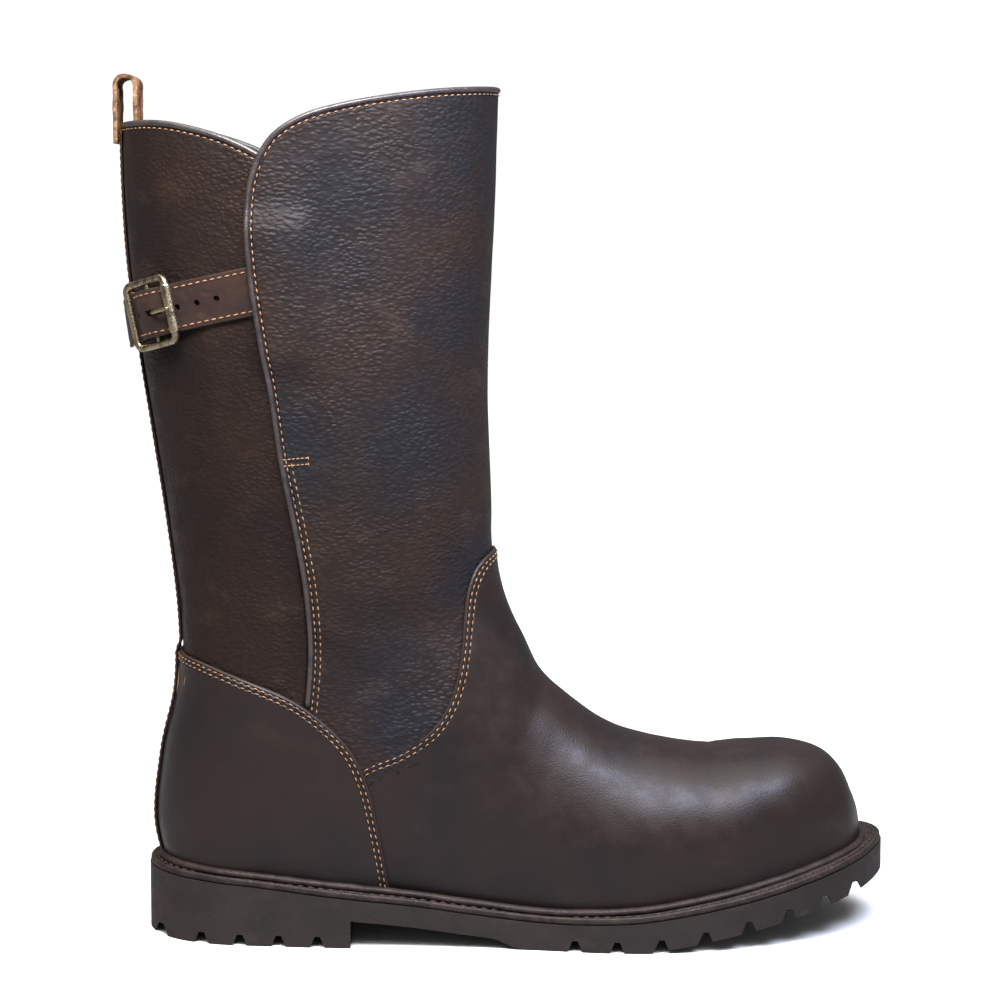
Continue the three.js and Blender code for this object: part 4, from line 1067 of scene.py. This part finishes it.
def makeStrap():
    points, normals, distances = strapRoute(strapLook["from"], strapLook["to"], 80)
    along = unit(np.gradient(points, axis=0))
    across = levelAcross(points, normals)
    profile = stripProfile(strapLook["width"], strapLook["thick"], 0.5, 12)
    # edges crushed along the stitch line, tip rounded
    sag = np.where(np.abs(np.abs(profile[:, 0]) - strapLook["width"] / 2 + strapLook["stitchInset"]) < 0.9, 0.18,
        0) * (profile[:, 1] > 0)
    profile = profile - np.stack([0 * sag, sag], 1)
    shaped = np.repeat(profile[None], len(points), 0).copy()
    for k, d in enumerate(distances - distances.min()):
        if d < 8:
            shaped[k, :, 0] *= max(0.25, math.sqrt(max(0, 1 - ((8 - d) / 9.5) ** 2)))
    piece = sweep("strapBand", points, normals, across, shaped, "strapLeather", slot="smooth_leather",
        replaced=["strap"])
    cutter = bmesh.new()
    for k in strapLook["holes"]:
        d = strapLook["firstHole"] + strapLook["pitch"] * k
        i = int(np.argmin(np.abs(distances - d)))
        place = placeAt(along[i], across[i], normals[i], points[i] + along[i] * (distances[i] - d))
        bmesh.ops.create_cone(cutter, cap_ends=True, segments=16, radius1=strapLook["hole"],
            radius2=strapLook["hole"], depth=8, matrix=place)
    place = placeAt(forward, upright, seatNormal, inBuckle(np.array([[strapLook["firstHole"], 0, 3]]))[0])
    bmesh.ops.create_cube(cutter, size=1, matrix=place @ Matrix.Diagonal((strapLook["slot"], 2 * strapLook["hole"], 8,
        1)))
    carve(piece, cutter)
    smoothByAngle(piece, 40)
    rows = bmesh.new()
    for sign in (-1, 1):
        offset = sign * (strapLook["width"] / 2 - strapLook["stitchInset"])
        keep = distances > -9
        line = points[keep] + across[keep] * offset + normals[keep] * (strapLook["thick"] / 2 - 0.05)
        run = runAlong(line)
        steps = np.linspace(0, run[-1], round(run[-1] / threadLook["pitch"]))
        addStitches(rows, atSteps(steps, run, line), unit(atSteps(steps, run, normals[keep])), 2.4, 0.36)
    addPiece("strapStitches", rows, "thread", "boot")
    print("strap made")


def barRing(radius, count):  # round the buckle's middle bar
    turn = circle(count)
    return inBuckle(np.column_stack([radius * np.cos(turn), 0 * turn, radius * np.sin(turn)]))


def makeTab():
    width, thick = strapLook["width"] - 1.5, buckleLook["tab"]
    start, end = 2 * math.pi - angleAt(-30, seatZ), seatAngle + 0.02
    points, normals = [], []
    for a in np.linspace(start, end, 60):
        z = seatZ - 1.2 - 4 * smooth(seatAngle + 0.3, start, a)
        point, normal = spotAt(z, a)
        far = float(smooth(0, 0.5, abs(a - math.pi) - 0.25))
        lift = 2.25 * (1 - far) + (layers["gap"] + thick / 2) * far
        points.append(point + normal * lift)
        normals.append(normal)
    points, normals = np.array(points), np.array(normals)
    across = levelAcross(points, normals)
    sweep("buckleTab", points, normals, across, stripProfile(width, thick, 0.25, 8), "rawLeather", slot="raw_leather",
                  replaced=["buckle_tab"], relief=lambda placed, i,
                  j: placed + across[i] * (waves(placed, 5, 2.6) * 0.35)[:, None])
    ring = barRing(buckleLook["wrap"], 28)
    for sign in (-1, 1):
        bandWidth = (width - 2 * buckleLook["prongGap"]) / 2
        aside = upright * sign * (buckleLook["prongGap"] + bandWidth / 2)
        outs = unit(ring + aside - (seat + aside))
        sweep(f"tabWrap{'Top' if sign > 0 else 'Low'}", ring + aside, outs, np.tile(upright, (28, 1)),
            stripProfile(bandWidth, thick, 0.25, 3),
              "rawLeather", slot="raw_leather", closed=True)
    print("tab made")


def localSweep(name, local, profile, material, body, replaced=(), closed=False):
    along = unit(np.roll(local, -1, 0) - np.roll(local, 1, 0)) if closed else unit(np.gradient(local, axis=0))
    side = unit(np.cross(along, np.tile([0.0, 0.0, 1.0], (len(local), 1))))
    out = np.cross(side, along)
    turn = np.stack([forward, upright, seatNormal], 1)
    return sweep(name, inBuckle(local), out @ turn.T, side @ turn.T, profile, material, body, "antique_brass",
        replaced, closed)


def makeBuckle():
    r, bar, corner = buckleLook["radius"], buckleLook["bar"], buckleLook["corner"]
    halfWidth = strapLook["width"] / 2 + buckleLook["side"] + r
    loop = []
    for cx, cy, start in ((1, 1, 0), (-1, 1, 0.5), (-1, -1, 1), (1, -1, 1.5)):
        for a in np.linspace(start, start + 0.5, 8) * math.pi:
            loop.append([cx * (halfLength - corner) + corner * math.cos(a),
                cy * (halfWidth - corner) + corner * math.sin(a)])
    loop = np.array(loop + loop[:1])
    run = runAlong(loop)
    loop = atSteps(np.linspace(0, run[-1], 110, endpoint=False), run, loop)
    local = np.column_stack([loop, buckleLook["bow"] * (loop[:, 0] / halfLength) ** 2])
    flatRing = np.array([(1.5 * math.copysign(abs(math.cos(a)) ** 0.75, math.cos(a)),
                          1.35 * math.copysign(abs(math.sin(a)) ** 0.75, math.sin(a))) for a in circle(16)])
    localSweep("buckleFrame", local, flatRing, "brass", "boot", ["buckle_frame"], closed=True)
    ys = np.linspace(-halfWidth, halfWidth, 12)
    localSweep("buckleBar", np.column_stack([0 * ys, ys, 0 * ys]), tubeProfile(bar, bar, 14), "brass", "boot")
    half = halfWidth - corner - 0.3
    ys = np.concatenate([[-half, -half + 0.25], np.linspace(-half + 0.8, half - 0.8, 14), [half - 0.25, half]])
    size = np.concatenate([[0.9, 0.98], np.full(14, 1.0), [0.98, 0.9]])
    tube = tubeProfile(buckleLook["roller"], buckleLook["roller"], 22)
    rollerRings = tube[None] * size[:, None, None]
    line = np.column_stack([0 * ys + halfLength, ys, 0 * ys + buckleLook["bow"]])
    localSweep("buckleRoller", line, rollerRings, "brass", "roller", ["buckle_roller"])
    rest = buckleLook["bow"] + buckleLook["roller"] + layers["gap"] + buckleLook["prong"]
    knots = np.array([[0.4, 0, 1.75], [1.2, 0, 1.9], [2.6, 0, 2.7], [5, 0, 4.1], [9, 0, 4.6], [halfLength, 0, rest],
        [halfLength + 2.2, 0, rest - 0.5]])
    path = flow(knots, 40)
    size = np.interp(np.linspace(0, 1, 40), [0, 0.1, 0.7, 0.93, 1], [0.9, 1.05, 1.0, 0.85, 0.45])
    prongTube = tubeProfile(buckleLook["prong"], buckleLook["prong"], 12)[None] * size[:, None, None]
    localSweep("buckleProng", path, prongTube, "brass", "prong", ["buckle_prong"])
    centre = barRing(buckleLook["eye"], 30)
    sweep("prongEye", centre, unit(centre - seat), np.tile(upright, (30, 1)), stripProfile(1.8, 1.0, 0.3, 2), "brass",
        "prong", "antique_brass", closed=True)
    print("buckle made")


backLook = {"low": 29.5, "high": 333.7, "width": 12, "thick": 0.9, "out": 0.75, "stitchOut": 1.27, "stitchAside": 4.4}
loopLook = {"width": 20, "thick": 1.8, "rise": 19.5, "edge": 335.8, "outX": -53.45, "inX": -45.2, "outer": 8,
    "inner": 18}


def backRoute(low, high, steps, lift):
    points, normals = [], []
    for z in np.linspace(low, high, steps):
        point, normal = spotAt(z, math.pi)
        over = (layers["gap"] + layers["panel"]) * smooth(122, 116.5, z)
        points.append(point + normal * (lift + over))
        normals.append(normal)
    return np.array(points), np.array(normals), np.tile([0.0, 1.0, 0.0], (steps, 1))


def makeBack():
    look = backLook
    sweep("backstayStrip", *backRoute(look["low"], look["high"], 130, look["out"]),
        stripProfile(look["width"], look["thick"], 0.3, 8), "strapLeather", slot="smooth_leather",
        replaced=["backstay"])
    bm = bmesh.new()
    for sign in (-1, 1):
        points, normals, across = backRoute(34, 331, 99, look["stitchOut"])
        addStitches(bm, points + across * sign * look["stitchAside"], normals, 2.4, 0.34)
    addPiece("backstayStitches", bm, "thread", "boot")
    print("backstay made")


def makeLoop():  # pull loop over the top edge: up the outside, round, down the inside
    edge, rise, outX, inX = (loopLook[key] for key in ("edge", "rise", "outX", "inX"))
    half, middle, crown = (inX - outX) / 2, (inX + outX) / 2, edge + rise
    tall = half * 1.3
    path = [(outX, edge - loopLook["outer"] + (rise - tall + loopLook["outer"]) * k / 14, -1, 0) for k in range(15)]
    for k in range(1, 24):
        t = math.pi * (1 - k / 24)
        c, w = math.cos(t), math.sin(t)
        path.append((middle + (half + 1.2 * w) * c, crown - tall * (1 - w), c, w))
    path += [(inX, crown - tall - (rise - tall + loopLook["inner"]) * k / 16, 1, 0) for k in range(17)]
    path = np.array(path)
    points = np.column_stack([path[:, 0], 0 * path[:, 0], path[:, 1]])
    outs = unit(np.column_stack([path[:, 2], 0 * path[:, 0], path[:, 3]]))
    across = np.tile([0.0, 1.0, 0.0], (len(path), 1))

    def ragged(placed, i, j):
        return placed + across[i] * (waves(placed, 5, 4.1) * 0.8)[:,
            None] + outs[i] * (waves(placed, 4, 9.1) * 0.25)[:, None]

    sweep("pullLoopStrap", points, outs, across, stripProfile(loopLook["width"], loopLook["thick"], 0.4, 14),
        "rawLeather", slot="raw_leather", replaced=["pull_loop"], relief=ragged)
    print("loop made")


def dressInner():
    for node, name in (("cork_filler", "cork"), ("shank", "steel"), ("insole_board", "board"), ("footbed", "felt"),
                       ("toe_puff", "board"), ("heel_stiffener", "board"), ("gusset", "gussetCloth")):
        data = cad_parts[node].data
        data.materials.clear()
        data.materials.append(finish(name))


def makeFloor():
    bm = bmesh.new()
    bmesh.ops.create_grid(bm, x_segments=2, y_segments=2, size=3)
    floor = addObject("floor", bm)
    f = Finish("floorPaper")
    seen = f.node("LightPath", output="Is Camera Ray")  # white backdrop paper that throws little light back up
    f.feed(f.surface.inputs["Base Color"], f.mix(seen, (0.34, 0.34, 0.34, 1), (0.95, 0.95, 0.95, 1)))
    f.surface.inputs["Roughness"].default_value = 0.9
    f.surface.inputs["Specular IOR Level"].default_value = 0.1
    floor.data.materials.append(f.material)


setCamera()
setLights()
makeFloor()
makeLeathers()
makeLinings()
makePiping()
makeStitches()
makeOutsole()
makeWelt()
makeStrap()
makeTab()
makeBuckle()
makeBack()
makeLoop()
dressInner()

bpy.context.view_layer.update()
